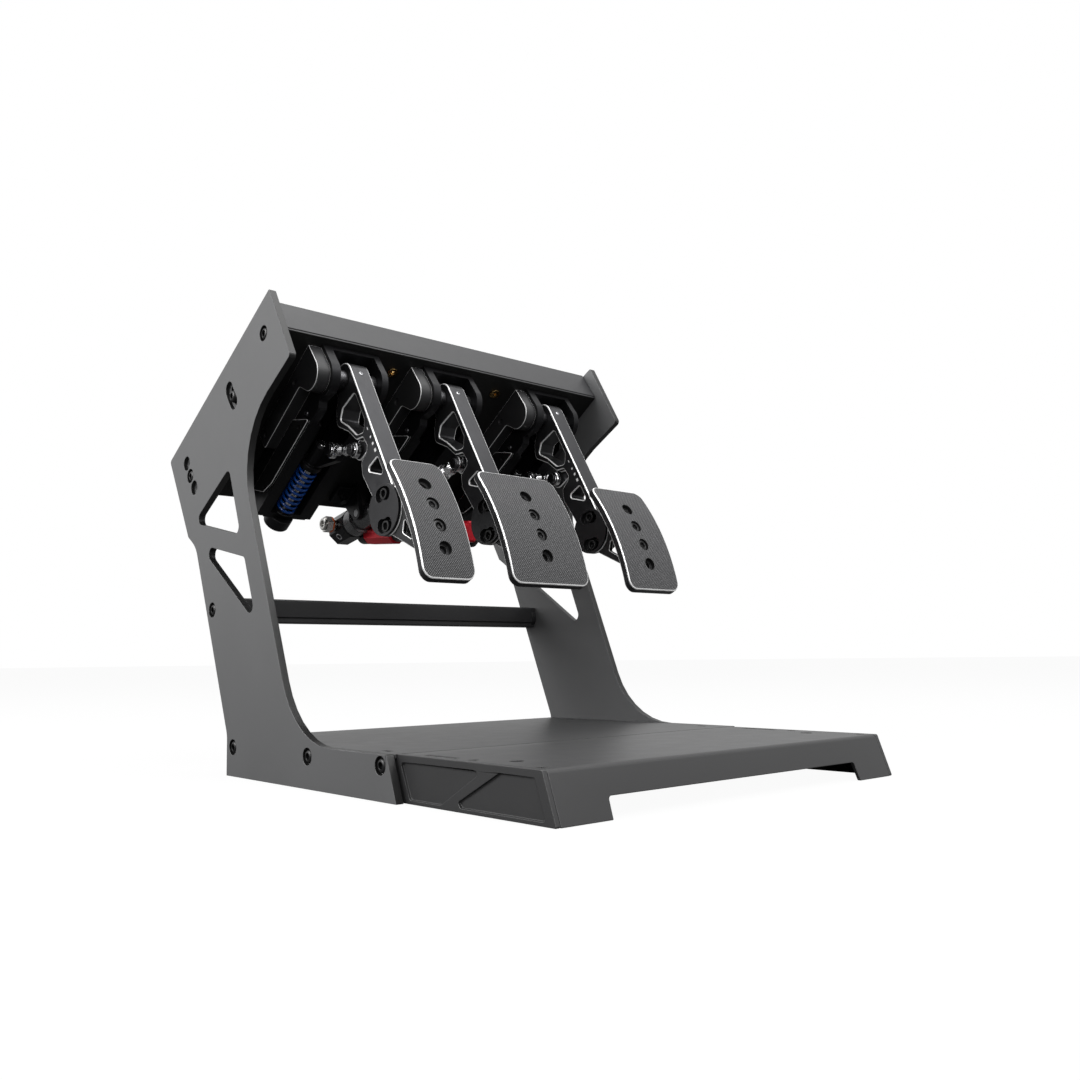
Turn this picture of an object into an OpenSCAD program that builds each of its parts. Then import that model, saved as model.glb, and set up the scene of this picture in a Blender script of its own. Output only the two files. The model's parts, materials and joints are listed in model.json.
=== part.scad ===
// Inverted three-pedal set for driving simulators: clutch, hydraulic brake and throttle hang
// from a tilted deck between two side plates, over a folded sheet-metal floor.
// +X is to the driver's right, +Y points away from the driver, +Z is up.
// The origin is the middle of the footprint, at floor level. All sizes are millimetres.

/* [Stand] */
// Width over the outer faces of the two side plates
overall_w = 365; // [330:1:420]
// Thickness of each side plate
plate_t = 6; // [5:0.5:7]
// Height of the side plates' front tip above the floor
overall_h = 389; // [370:1:420]
// Distance of the front tip behind the front edge of the floor
tip_y = 323; // [310:1:340]
// Slope of the head's top edge below horizontal
head_tilt = 30; // [26:1:34]
// Length of the head's top edge
head_l = 222; // [215:1:235]
// Length of the head's front edge, from the tip down to the nose
head_nose = 71.5; // [68:0.5:78]
// Length of the head's straight lower edge, from the nose to the leg
head_under = 102; // [98:1:108]
// Length of the head's rear edge
head_rear = 86; // [80:1:92]
// Height at which the rear of the leg meets the head
rear_notch_h = 193; // [188:1:197]
// Lean of the leg's front edge from vertical
front_lean = 22; // [20:0.5:24]
// Lean of the leg's rear edge from vertical
rear_lean = 22.6; // [20:0.2:24]
// Radius where the leg's front edge meets the foot
foot_blend_r = 74; // [60:1:80]
// Radius where the leg's front edge meets the head
head_blend_r = 68; // [50:1:75]
// Width of the webs of metal left around the triangular windows
window_web = 24; // [21:1:27]
// Corner radius of the triangular windows
window_r = 5.5; // [3:0.5:7]

/* [Floor] */
// Depth of the floor, front edge to rear edge
base_d = 389; // [370:1:410]
// Height of the floor's top surface
base_h = 31; // [29:0.5:36]
// Thickness of the folded sheet
sheet_t = 3; // [2:0.5:3.5]
// Distance of the seam between the two floor plates behind the front edge
seam_y = 153; // [150:1:156]
// Distance by which the floor's front flange leans back from bottom to top
front_rake = 11.5; // [8:0.5:14]
// Width of each foot left at the ends of the front flange
foot_w = 41; // [30:1:55]
// Height of the notch between the feet
notch_h = 13; // [8:1:16]
// Thickness of the side rails
rail_t = 3.5; // [3:0.5:4.5]
// Depth of the pockets in the side rails
pocket_depth = 1.8; // [1:0.2:2]
// Spacing of the front pair of floor mounting holes
front_hole_span = 303; // [280:1:306]
// Distance of the front pair of holes behind the front edge
front_hole_y = 60; // [50:1:80]
// Spacing of the rear pair of floor mounting holes
rear_hole_span = 325; // [290:1:328]
// Distance of the rear pair of holes behind the front edge
rear_hole_y = 344; // [320:1:350]
// Radius of the floor mounting holes
floor_hole_r = 4.5; // [3.5:0.5:6]

/* [Cross bar] */
// Height of the cross bar's section
bar_h = 21; // [18:1:26]
// Depth of the cross bar's section
bar_d = 17; // [14:1:20]
// Height of the cross bar's centre above the floor
bar_z = 136.4; // [130:0.2:145]
// Distance of the cross bar's bolt behind the floor's front edge
bar_y = 420.3; // [419:0.1:422]

/* [Deck] */
// Slope of the pedal deck, one of the three settings that the rear holes give
deck_angle = 35; // [35]
// Angle between neighbouring rear holes
deck_step = 5; // [4.5:0.5:6]
// Distance of the deck's pivot bolts from the head's front and top edges
bolt_inset = 25; // [23:0.5:27]
// Distance from the deck's pivot bolts to its slot bolts
deck_slot_r = 69.4; // [66:0.2:74]
// Distance from the deck's pivot bolts to its rear bolts
deck_rear_r = 168.2; // [166:0.2:170]
// Distance of the deck's underside below the line of its bolts
deck_drop = 8; // [7.5:0.5:9]
// Overhang of the deck in front of its pivot bolts
deck_front = 15.4; // [14.5:0.1:16.5]
// Length of the deck, fascia to rear flange
deck_l = 198; // [196:1:200]
// Height of the fascia at the deck's front edge
fascia_h = 33; // [28:1:38]
// Height of the deck's side and rear flanges
deck_flange = 20; // [18:1:24]

/* [Fasteners] */
// Radius of the M6 screw shanks
m6_r = 3; // [2.5:0.25:3]
// Radius of the clearance holes for the M6 screws
m6_hole_r = 3.3; // [3.2:0.05:3.5]
// Radius of the button heads
button_r = 5.25; // [5:0.05:5.5]
// Height of the button heads
button_h = 3.3; // [3:0.1:3.4]
// Radius of the recess around each button head
recess_r = 6.3; // [6:0.1:6.8]
// Depth of the recess around each button head
recess_depth = 3.5; // [3.4:0.1:3.8]

/* [Pedal modules] */
// Distance of the clutch left of the stand's middle
clutch_x = -105.5; // [-108:0.5:-103]
// Distance of the brake right of the stand's middle
brake_x = -4; // [-6:0.5:0]
// Distance of the throttle right of the stand's middle
throttle_x = 117.5; // [114:0.5:120]
// Distance of the pedal pivot behind the deck's pivot bolts, along the deck
pivot_y = 9; // [8:0.5:10]
// Distance of the pedal pivot below the deck
pivot_drop = 21; // [20:0.5:23]
// Depth of the module bodies below the deck
body_h = 39; // [37:0.5:41]
// Length of the clutch and throttle bodies
body_l = 170; // [168:1:174]
// Length of the brake body
brake_body_l = 112; // [105:1:116]
// Radius of the ears around the pivot
ear_r = 17; // [16:0.5:18]
// Width of the slot between the ears
ear_gap = 40; // [39:0.5:42]
// Width of the spring slot behind the ears
slot_w = 30; // [29:0.5:31]
// Thickness of the left ear
left_ear_t = 8; // [7:0.5:9]
// Thickness of the right ear
right_ear_t = 6; // [5:0.5:8]
// Thickness of the web that joins the two walls under the deck
web_t = 4; // [3:0.5:5]
// Width of the sensor housing
sensor_w = 12; // [11:0.5:13]
// Depth of the sensor housing below the deck
sensor_h = 18; // [17:0.5:20]
// Length of the sensor housing
sensor_l = 100; // [90:1:110]

/* [Pedal arms] */
// Thickness of the pedal arms
arm_t = 18; // [16:0.5:19]
// Distance from the pivot to the arms' front edge
arm_front = 14; // [13:0.5:15]
// Angle between the arms and a line square to the deck, at rest
arm_lead = 4.5; // [3:0.5:6]
// Radius of the pivot pins
pivot_r = 5; // [4:0.5:6]
// Radial running clearance of the pedal arms on their pins
run_gap = 0.05; // [0.02:0.01:0.08]
// Distance from the pivot to the face bracket's disc, along the arm
disc_a = 138; // [134:1:142]
// Radius of the face bracket's disc
disc_r = 20.5; // [19:0.5:21.5]
// Thickness of the face bracket's side plate
bracket_t = 4; // [3.5:0.5:5]
// Height by which the disc stands proud of the bracket
disc_proud = 3; // [2:0.5:4]
// Distance of each bracket bolt from the disc's centre
disc_bolt = 12.9; // [12:0.1:13.5]

/* [Pedal faces] */
// Width of the clutch face
clutch_face_w = 48; // [44:1:54]
// Width of the brake face
brake_face_w = 82; // [74:1:90]
// Width of the throttle face
throttle_face_w = 63.5; // [56:0.5:70]
// Height of the pedal faces, measured straight from edge to edge
face_h = 106; // [100:1:114]
// Thickness of the pedal faces
face_t = 6.5; // [5.5:0.5:7]
// Radius of the pedal faces' curve
face_curve_r = 203; // [180:1:230]
// Corner radius of the pedal faces
face_corner_r = 8.5; // [6:0.5:12]
// Distance between neighbouring holes in a face
face_hole_pitch = 19.3; // [18:0.1:20.5]
// Radius of the holes in a face
face_hole_r = 5.5; // [5.3:0.1:6]

/* [Springs and linkages] */
// Outer radius of the return springs
spring_r = 9.5; // [8.5:0.5:10]
// Wire diameter of the return springs
wire_d = 2.6; // [2:0.2:3]
// Number of curls in a return spring
spring_turns = 9; // [7:1:10]
// Length of a return spring at rest
spring_l = 57; // [54:1:60]
// Depth of the spring's axis below the deck
spring_drop = 33.4; // [32.5:0.1:34.5]
// Radius of the spring's guide rod
guide_r = 4; // [3.5:0.5:4.5]
// Radius of the spring's end cap
cap_r = 12; // [11:0.5:13]
// Radius of the rod-end eyes
eye_r = 6.8; // [6.2:0.1:7.2]
// Thickness of the rod-end eyes
eye_t = 6; // [5:0.5:6.5]
// Radius of the pins that the links turn on
link_pin_r = 2.5; // [2.25:0.25:2.75]
// Clearance at the end where each link is left open
open_gap = 1.1; // [1:0.1:1.2]
// Radius of the brake's master cylinder
cylinder_r = 11; // [10:0.5:11]
// Radius of the brake's pressure barrel, to its flats
barrel_r = 9.5; // [8:0.5:9.5]

/* [Hidden] */
$fn = 48;

// Plane positions of the stand. Y values count from the floor's front edge; place_y brings
// them to the origin in the middle of the footprint.
function head_point(along, down) = [
  tip_y + along * cos(head_tilt) - down * sin(head_tilt),
  overall_h - along * sin(head_tilt) - down * cos(head_tilt)];
inner_x = overall_w / 2 - plate_t;
side_gap = 0.3;
bolt_1 = head_point(bolt_inset, bolt_inset);
function from_bolt_1(r, angle) = bolt_1 + r * [cos(angle), -sin(angle)];
bolt_2 = from_bolt_1(deck_slot_r, deck_angle);
bolt_3 = from_bolt_1(deck_rear_r, deck_angle);
slot_half_angle = 6.5;
base_bolt_z = base_h - 7.6;
tongue_bolt_y = seam_y + 8.6;
middle_bolt_y = base_d - 131.7;
rear_bolt_y = base_d - 11;
bolt_places = [bolt_1, bolt_2, bolt_3, [bar_y, bar_z],
  [rear_bolt_y, base_bolt_z], [middle_bolt_y, base_bolt_z], [tongue_bolt_y, base_bolt_z]];

// Leg and foot
rear_foot_h = 32.7;
leg_head = head_point(head_under, head_nose);
leg_foot = [leg_head[0] - tan(front_lean) * (leg_head[1] - base_h), base_h];
rear_notch = [base_d + tan(rear_lean) * (rear_notch_h - rear_foot_h), rear_notch_h];
foot_front_y = seam_y + 1.3;
plate_outline = [
  [base_d, 0, 0],
  [base_d, rear_foot_h, 20],
  [rear_notch[0], rear_notch[1], 26],
  [head_point(head_l, head_rear)[0], head_point(head_l, head_rear)[1], 3],
  [head_point(head_l, 0)[0], head_point(head_l, 0)[1], 3],
  [tip_y, overall_h, 1.5],
  [head_point(0, head_nose)[0], head_point(0, head_nose)[1], 4],
  [leg_head[0], leg_head[1], head_blend_r],
  [leg_foot[0], leg_foot[1], foot_blend_r],
  [foot_front_y, base_h, 2],
  [foot_front_y - front_rake, 0, 0]];

// The head's rear corner is the furthest point back
overall_d = max([for (p = rounded(plate_outline)) p[0]]);
place_y = -overall_d / 2;

// Windows: three webs cross the leg; each window lies between two of them
function leg_front(z) = leg_head[0] - tan(front_lean) * (leg_head[1] - z);
function leg_rear(z) = base_d + tan(rear_lean) * (z - rear_foot_h);
window_top_z = 254;
window_mid_z = 215;
window_low_z = 122.3;
window_1 = [
  [leg_front(window_top_z) + window_web + 1, window_top_z, window_r],
  [leg_front(window_top_z - 58.5) + window_web + 2, window_top_z - 58.5, window_r],
  [leg_rear(window_mid_z) - 5, window_mid_z, window_r]];
window_2 = [
  [leg_front(window_mid_z - 38) + window_web + 2, window_mid_z - 38, window_r],
  [leg_front(window_low_z) + window_web + 2, window_low_z, window_r],
  [leg_rear(window_mid_z - 19.6) - 7, window_mid_z - 19.6, window_r]];

// Floor
rail_out_x = inner_x - 1.6;
rail_in_x = rail_out_x - rail_t;
front_half_w = rail_in_x - 0.1;
rear_half_w = inner_x - 0.1;
flange_low_z = 4;
tongue_l = 18;
bend_r = 4;

// Deck frame: origin under the pivot bolts on the deck's underside, +Y along the deck
deck_origin = bolt_1 + deck_drop * [-sin(deck_angle), -cos(deck_angle)];
deck_half_w = inner_x - side_gap;
module_front = -7.4;
eye_spring = [61, 17.2];
eye_brake = [64.5, 12.4];
link_x = -7;
spring_x = -2.5;
slot_left = spring_x - slot_w / 2;
slot_right = spring_x + slot_w / 2;
ear_left = -1 - ear_gap / 2;
ear_right = -1 + ear_gap / 2;
body_left = ear_left - left_ear_t;
body_right = ear_right + right_ear_t;
throat_y = 46;

// A point of the arm, given along and behind it, in the deck frame
function arm_point(p) = [
  pivot_y + p[0] * sin(arm_lead) + p[1] * cos(arm_lead),
  -pivot_drop - p[0] * cos(arm_lead) + p[1] * sin(arm_lead)];
spring_eye = arm_point(eye_spring);
plunger_pin = [57.5, -54.7];
link_l = norm(plunger_pin - spring_eye);
link_angle = atan2(plunger_pin[1] - spring_eye[1], plunger_pin[0] - spring_eye[0]);
collar_t = 5;
spring_front = 98;
spring_back = spring_front + spring_l;
guide_front = 70;
cap_l = 12;

// Brake line of thrust: from the arm's eye to the trunnion under the deck
brake_eye = arm_point(eye_brake);
trunnion = [160, -26];
thrust_l = norm(trunnion - brake_eye);
thrust_angle = atan2(trunnion[1] - brake_eye[1], trunnion[0] - brake_eye[0]);
trunnion_r = 4;
hanger_gap = 0.3;
hanger_t = 5;
barrel_x = 8;
barrel_seat = [180.8, -32.9];
barrel_rise = 39.5;
barrel_l = 157;

// Face frame, relative to the arm
face_a = 167.9;
face_b = -39.5;
face_tilt = 3.5;
face_holes = [-28.5, -28.5 + face_hole_pitch, -28.5 + 2 * face_hole_pitch, -28.5 + 3 * face_hole_pitch];
face_seat = 2.6;
face_head_r = 5;

// Rounds every corner [x, y, radius] of an outline with a short arc
function unit(v) = v / norm(v);
function turn(d) = d > 180 ? d - 360 : d < -180 ? d + 360 : d;
function corner(a, p, b, r, steps = 7) = r == 0 ? [p] :
  let (u = unit(a - p), w = unit(b - p), half = acos(u * w) / 2,
    c = p + unit(u + w) * r / sin(half),
    from = p + u * r / tan(half) - c, to = p + w * r / tan(half) - c,
    start = atan2(from[1], from[0]), sweep = turn(atan2(to[1], to[0]) - start))
  [for (i = [0 : steps]) c + r * [cos(start + sweep * i / steps), sin(start + sweep * i / steps)]];
function flat(p) = [p[0], p[1]];
function rounded(points) = [
  for (i = [0 : len(points) - 1])
    for (q = corner(flat(points[(i + len(points) - 1) % len(points)]), flat(points[i]),
      flat(points[(i + 1) % len(points)]), points[i][2])) q];
// Rounds the corners between the first and last points of an open path
function rounded_path(points) = [
  for (i = [1 : len(points) - 2])
    for (q = corner(flat(points[i - 1]), flat(points[i]), flat(points[i + 1]), points[i][2])) q];
function arc(c, r, start, end, steps = 12) = [
  for (i = [0 : steps])
    let (t = start + (end - start) * i / steps) c + r * [cos(t), sin(t)]];
function arc_slot(c, r, half_w, start, end) = concat(
  arc(c, r + half_w, start, end),
  arc(c + r * [cos(end), sin(end)], half_w, end, end + 180, 8),
  arc(c, r - half_w, end, start),
  arc(c + r * [cos(start), sin(start)], half_w, start + 180, start + 360, 8));

// Draws an outline in the side view and gives it a width across, from x0 to x1
module across(x0, x1) {
  translate([x0, 0, 0])
    rotate([90, 0, 90])
      linear_extrude(x1 - x0)
        children();
}

// A round bar lying across, at a point of the side view
module bar_x(p, r, x0, x1) {
  translate([x0, p[0], p[1]])
    rotate([0, 90, 0])
      cylinder(r = r, h = x1 - x0);
}

module box(x0, x1, y0, y1, z0, z1) {
  translate([x0, y0, z0])
    cube([x1 - x0, y1 - y0, z1 - z0]);
}

module placed() {
  translate([0, place_y, 0])
    children();
}

module on_deck(x) {
  translate([x, place_y + deck_origin[0], deck_origin[1]])
    rotate([-deck_angle, 0, 0])
      children();
}

module on_arm(x) {
  on_deck(x)
    translate([0, pivot_y, -pivot_drop])
      rotate([arm_lead, 0, 0])
        children();
}

module in_face() {
  translate([0, face_b, -face_a])
    rotate([face_tilt, 0, 0])
      children();
}

module on_face(x) {
  on_arm(x)
    in_face()
      children();
}

module on_thrust(x) {
  on_deck(x)
    translate([0, trunnion[0], trunnion[1]])
      rotate([thrust_angle, 0, 0])
        children();
}

module both_sides() {
  children();
  mirror([1, 0, 0])
    children();
}

// Side plates
module side_plate() {
  difference() {
    across(-overall_w / 2, -inner_x)
      polygon(rounded(plate_outline));
    for (w = [window_1, window_2])
      across(-overall_w / 2 - 1, -inner_x + 1)
        polygon(rounded(w));
    for (p = [bolt_1, bolt_places[3], bolt_places[4], bolt_places[5], bolt_places[6]]) {
      bar_x(p, m6_hole_r, -overall_w / 2 - 1, -inner_x + 1);
      bar_x(p, recess_r, -overall_w / 2 - 1, -overall_w / 2 + recess_depth);
    }
    for (k = [-1, 0, 1])
      let (p = from_bolt_1(deck_rear_r, deck_angle + k * deck_step)) {
        bar_x(p, m6_hole_r, -overall_w / 2 - 1, -inner_x + 1);
        bar_x(p, recess_r, -overall_w / 2 - 1, -overall_w / 2 + recess_depth);
      }
    slot_cut(m6_hole_r, -inner_x + 1);
    slot_cut(recess_r, -overall_w / 2 + recess_depth);
  }
}

module slot_cut(half_w, x_end) {
  across(-overall_w / 2 - 1, x_end)
    polygon(arc_slot(bolt_1, deck_slot_r, half_w,
      -deck_angle - slot_half_angle, -deck_angle + slot_half_angle));
}

module left_side_plate() {
  color("dimgray")
    placed()
      side_plate();
}

module right_side_plate() {
  color("dimgray")
    placed()
      mirror([1, 0, 0])
        side_plate();
}

// Floor plates, folded from sheet
module floor_hole(span, y) {
  for (side = [-1, 1])
    translate([side * span / 2, y, base_h - sheet_t - 1])
      cylinder(r = floor_hole_r, h = sheet_t + 2);
}

module rear_floor_plate() {
  back_y = base_d - 2;
  front_y = seam_y + 0.2;
  color([0.16, 0.16, 0.17])
    placed()
      difference() {
        union() {
          box(-rear_half_w, rear_half_w, front_y, back_y, base_h - sheet_t, base_h);
          both_sides()
            box(rear_half_w - sheet_t, rear_half_w, seam_y + tongue_l + 2, back_y,
              flange_low_z, base_h);
          box(-rear_half_w, rear_half_w, back_y - sheet_t, back_y, flange_low_z, base_h);
          box(-rear_half_w + 12, rear_half_w - 12, front_y, front_y + sheet_t, base_h - 20, base_h);
        }
        floor_hole(rear_hole_span, rear_hole_y);
        both_sides()
          for (y = [middle_bolt_y, rear_bolt_y])
            bar_x([y, base_bolt_z], m6_r, rear_half_w - sheet_t - 1, rear_half_w + 1);
        seam_holes();
        edge_slot(25, 9);
      }
}

seam_screw_x = [-120, -40, 40, 120];
seam_screw_r = 2.5;
seam_screw_z = base_h - 12;
module seam_holes() {
  for (x = seam_screw_x)
    translate([x, seam_y - sheet_t - 1, seam_screw_z])
      rotate([-90, 0, 0])
        cylinder(r = seam_screw_r, h = 2 * sheet_t + 3);
}

// A round-ended slot near each side edge of the floor, centred ahead of or behind the seam
edge_slot_x = 17;
edge_slot_half = 2.2;
module edge_slot(offset_y, l) {
  both_sides()
    translate([overall_w / 2 - edge_slot_x, seam_y + offset_y, base_h - sheet_t - 1])
      linear_extrude(sheet_t + 2)
        square([2 * edge_slot_half, l], center = true);
}

module front_floor_plate() {
  lean = front_rake / base_h;
  color([0.16, 0.16, 0.17])
    placed()
      difference() {
        union() {
          across(-front_half_w, front_half_w)
            polygon(rounded([
              [0, 0, 0],
              [front_rake, base_h, bend_r],
              [seam_y - 0.1, base_h, 1.5],
              [seam_y - 0.1, base_h - 20, 0],
              [seam_y - sheet_t, base_h - 20, 0],
              [seam_y - sheet_t, base_h - sheet_t, 1],
              [front_rake + sheet_t * 0.75, base_h - sheet_t, 1.5],
              [sheet_t, 0, 0]]));
          both_sides()
            box(front_half_w - sheet_t, front_half_w, front_rake + 4, seam_y - 6,
              flange_low_z, base_h - 1);
        }
        translate([0, -1, 0])
          rotate([-90, 0, 0])
            linear_extrude(front_rake + 8)
              mirror([0, 1, 0])
                polygon(rounded([
                  [-front_half_w + foot_w, -1, 0],
                  [-front_half_w + foot_w + 1, notch_h, 2.5],
                  [front_half_w - foot_w - 1, notch_h, 2.5],
                  [front_half_w - foot_w, -1, 0]]));
        floor_hole(front_hole_span, front_hole_y);
        seam_holes();
        edge_slot(-36.5, 33);
        edge_slot(-131.5, 8);
        both_sides()
          translate([overall_w / 2 - edge_slot_x, seam_y - 69, base_h - sheet_t - 1])
            cylinder(r = 3.3, h = sheet_t + 2);
        rail_screw_holes(m6_r - 0.5);
      }
}

rail_screw_y = [45, 110];
module rail_screw_holes(r) {
  both_sides()
    for (y = rail_screw_y)
      bar_x([y, base_h / 2], r, front_half_w - sheet_t - 1, rail_in_x + 1.5);
}

// Side rails: plates with two milled pockets and a tongue behind the side plate
module side_rail() {
  pocket_top = base_h - 5;
  pocket_low = 2.7;
  difference() {
    union() {
      across(rail_in_x, rail_out_x)
        polygon(rounded([
          [0, 0, 1],
          [front_rake, base_h, 1.5],
          [seam_y, base_h, 0.5],
          [seam_y, base_h - sheet_t - 0.1, 0],
          [seam_y + tongue_l, base_h - sheet_t - 0.1, 2],
          [seam_y + tongue_l, 0, 2]]));
      box(rail_out_x - 0.5, inner_x, seam_y + 2.5, seam_y + tongue_l - 1.5, 10, base_h - sheet_t - 0.2);
    }
    across(rail_out_x - pocket_depth, rail_out_x + 1)
      polygon(rounded([
        [seam_y - 4, pocket_top, 2],
        [seam_y - 82.5, pocket_top, 1.5],
        [seam_y - 84.4, pocket_top - 2.2, 1.5],
        [seam_y - 47.5, pocket_low, 3],
        [seam_y - 14.1, pocket_low, 3]]));
    across(rail_out_x - pocket_depth, rail_out_x + 1)
      polygon(rounded([
        [seam_y - 104, pocket_top, 3],
        [17.6, pocket_top, 2],
        [8.9, pocket_low, 1.5],
        [seam_y - 67.7, pocket_low, 1.5],
        [seam_y - 64.8, pocket_low + 3.2, 1.5]]));
    bar_x([tongue_bolt_y, base_bolt_z], m6_r, rail_in_x - 1, inner_x + 1);
    for (y = rail_screw_y)
      bar_x([y, base_h / 2], m6_r - 0.5, rail_in_x - 1, rail_in_x + 1.5);
  }
}

module left_side_rail() {
  color([0.16, 0.16, 0.17])
    placed()
      mirror([1, 0, 0])
        side_rail();
}

module right_side_rail() {
  color([0.16, 0.16, 0.17])
    placed()
      side_rail();
}

// Screws that hold the seam flanges together and the rails to the front plate
module seam_screws() {
  color("black")
    placed() {
      for (x = seam_screw_x)
        translate([x, seam_y - sheet_t, seam_screw_z])
          rotate([-90, 0, 0]) {
            cylinder(r = seam_screw_r, h = 2 * sheet_t + 3);
            translate([0, 0, -4])
              cylinder(r = 4.5, h = 4);
          }
      both_sides()
        for (y = rail_screw_y) {
          bar_x([y, base_h / 2], m6_r - 0.5, front_half_w - sheet_t - 1, rail_in_x + 1.4);
          bar_x([y, base_h / 2], 4.5, front_half_w - sheet_t - 4, front_half_w - sheet_t);
        }
    }
}

// Cross bar: a folded channel with a round-ended tab on each end
module cross_bar() {
  front = bar_y - bar_d / 2;
  back = bar_y + bar_d / 2;
  top = bar_z + bar_h / 2;
  low = bar_z - bar_h / 2;
  wall = 2.5;
  tab_t = 5;
  end_x = inner_x - side_gap;
  color([0.1, 0.1, 0.1])
    placed() {
      across(-end_x, end_x)
        polygon(rounded([
          [front, top, 1.5],
          [back, top, 0.5],
          [back, top - wall, 0.5],
          [front + wall, top - wall, 0.5],
          [front + wall, low + 5.4, 0.5],
          [front + wall + 1.6, low + 4.6, 0.3],
          [front + wall + 1.6, low + wall, 0.5],
          [back, low + wall, 0.5],
          [back, low, 0.5],
          [front + 1.6, low, 1],
          [front + 1.6, low + 4.6, 0.3],
          [front, low + 5.4, 0.5]]));
      both_sides()
        difference() {
          bar_x([bar_y, bar_z], bar_h / 2 - 0.2, end_x - tab_t, end_x + side_gap);
          bar_x([bar_y, bar_z], m6_r, end_x - tab_t - 1, end_x + 1);
        }
    }
}

// Deck: a folded tray between the side plates, with a fascia at its front edge
module pedal_deck() {
  back = deck_l - deck_front;
  color([0.14, 0.14, 0.15])
    on_deck(0)
      difference() {
        union() {
          across(-deck_half_w, deck_half_w)
            polygon(rounded([
              [-deck_front + 0.9, 0, 0.8],
              [-deck_front + 0.9, 1.4, 0],
              [-deck_front, 1.9, 0],
              [-deck_front, fascia_h, 0.8],
              [-deck_front + sheet_t, fascia_h, 0.8],
              [-deck_front + sheet_t, sheet_t, 1],
              [back - sheet_t, sheet_t, 1],
              [back - sheet_t, deck_flange, 0.8],
              [back, deck_flange, 0.8],
              [back, 0, 3]]));
          both_sides()
            box(deck_half_w - sheet_t, deck_half_w + side_gap / 2, -deck_front + sheet_t,
              back - sheet_t, 0, deck_flange);
        }
        both_sides()
          for (y = [0, deck_slot_r, deck_rear_r])
            bar_x([y, deck_drop], m6_r, deck_half_w - sheet_t - 1, deck_half_w + 1);
        for (m = modules)
          for (p = module_bolt_places(m[1]))
            translate([m[0] + p[0], p[1], -1])
              cylinder(r = m6_hole_r, h = sheet_t + 2);
        for (x = [-1, 1])
          translate([brake_x + link_x + x * hanger_bolt_x, trunnion[0] - 1, -1])
            cylinder(r = m6_hole_r, h = sheet_t + 2);
        for (x = insert_x)
          translate([x, insert_y, -1])
            cylinder(r = insert_r, h = sheet_t + 2);
      }
}

modules = [[clutch_x, body_l], [brake_x, brake_body_l], [throttle_x, body_l]];
module_bolt_y = 24;
function module_bolt_places(l) = [
  for (x = [(body_left + slot_left) / 2, (slot_right + body_right) / 2])
    for (y = [module_bolt_y, module_front + l - 12]) [x, y]];
module_bolt_l = 14;
insert_x = [clutch_x + 46, brake_x + 60, throttle_x - 60];
insert_y = 5.6;
insert_r = 3.5;
hanger_bolt_x = 26;

// Side bolts: button heads sunk in their recesses, and the nuts behind them
module side_bolts() {
  color("black")
    placed()
      both_sides()
        for (p = bolt_places) {
          bar_x(p, m6_r, inner_x - 9, overall_w / 2 - recess_depth + 0.1);
          difference() {
            bar_x(p, button_r, overall_w / 2 - recess_depth, overall_w / 2 - recess_depth + button_h);
            bar_x(p, 2, overall_w / 2 - recess_depth + 1.3, overall_w / 2);
          }
        }
}

// Round weld nuts behind the side bolts
module side_nuts() {
  nut_r = 4.5;
  nut_t = 5;
  color("silver")
    placed()
      both_sides()
        for (i = [0 : len(bolt_places) - 1])
          let (seat = i < 3 ? deck_half_w - sheet_t : i == 3 ? inner_x - side_gap - 5 :
            i == 6 ? rail_in_x : rear_half_w - sheet_t)
            difference() {
              bar_x(bolt_places[i], nut_r, seat - nut_t, seat);
              bar_x(bolt_places[i], m6_r + 0.05, seat - nut_t - 1, seat + 1);
            }
}

module deck_inserts() {
  color("goldenrod")
    on_deck(0)
      for (x = insert_x)
        translate([x, insert_y, -1.6])
          difference() {
            union() {
              cylinder(r = insert_r, h = sheet_t + 3);
              cylinder(r = insert_r + 1.2, h = 1.6);
            }
            translate([0, 0, -1])
              cylinder(r = 2, h = sheet_t + 6);
          }
}

module cap_screw(p) {
  translate([p[0], p[1], -module_bolt_l])
    cylinder(r = m6_r, h = module_bolt_l + sheet_t + 0.1);
  translate([p[0], p[1], sheet_t])
    difference() {
      cylinder(r = 5, h = 6);
      translate([0, 0, 3])
        cylinder(r = 2.5, h = 4);
    }
}

module module_bolts() {
  color("black")
    on_deck(0) {
      for (m = modules)
        for (p = module_bolt_places(m[1]))
          cap_screw([m[0] + p[0], p[1]]);
      for (side = [-1, 1])
        cap_screw([brake_x + link_x + side * hanger_bolt_x, trunnion[0] - 1]);
    }
}

// Module bodies: two walls with ears around the pivot, joined by a web under the deck
function wall_outline(l) = concat(
  [[module_front, 0]],
  arc([pivot_y, -pivot_drop], ear_r, 170, 296),
  rounded_path([
    [pivot_y + ear_r * cos(296), -pivot_drop + ear_r * sin(296)],
    [pivot_y + 14.5, -pivot_drop - 13, 2],
    [pivot_y + 19, -body_h, 3],
    [module_front + l, -body_h, 2],
    [module_front + l, 0]]),
  [[module_front + l, 0]]);

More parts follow.
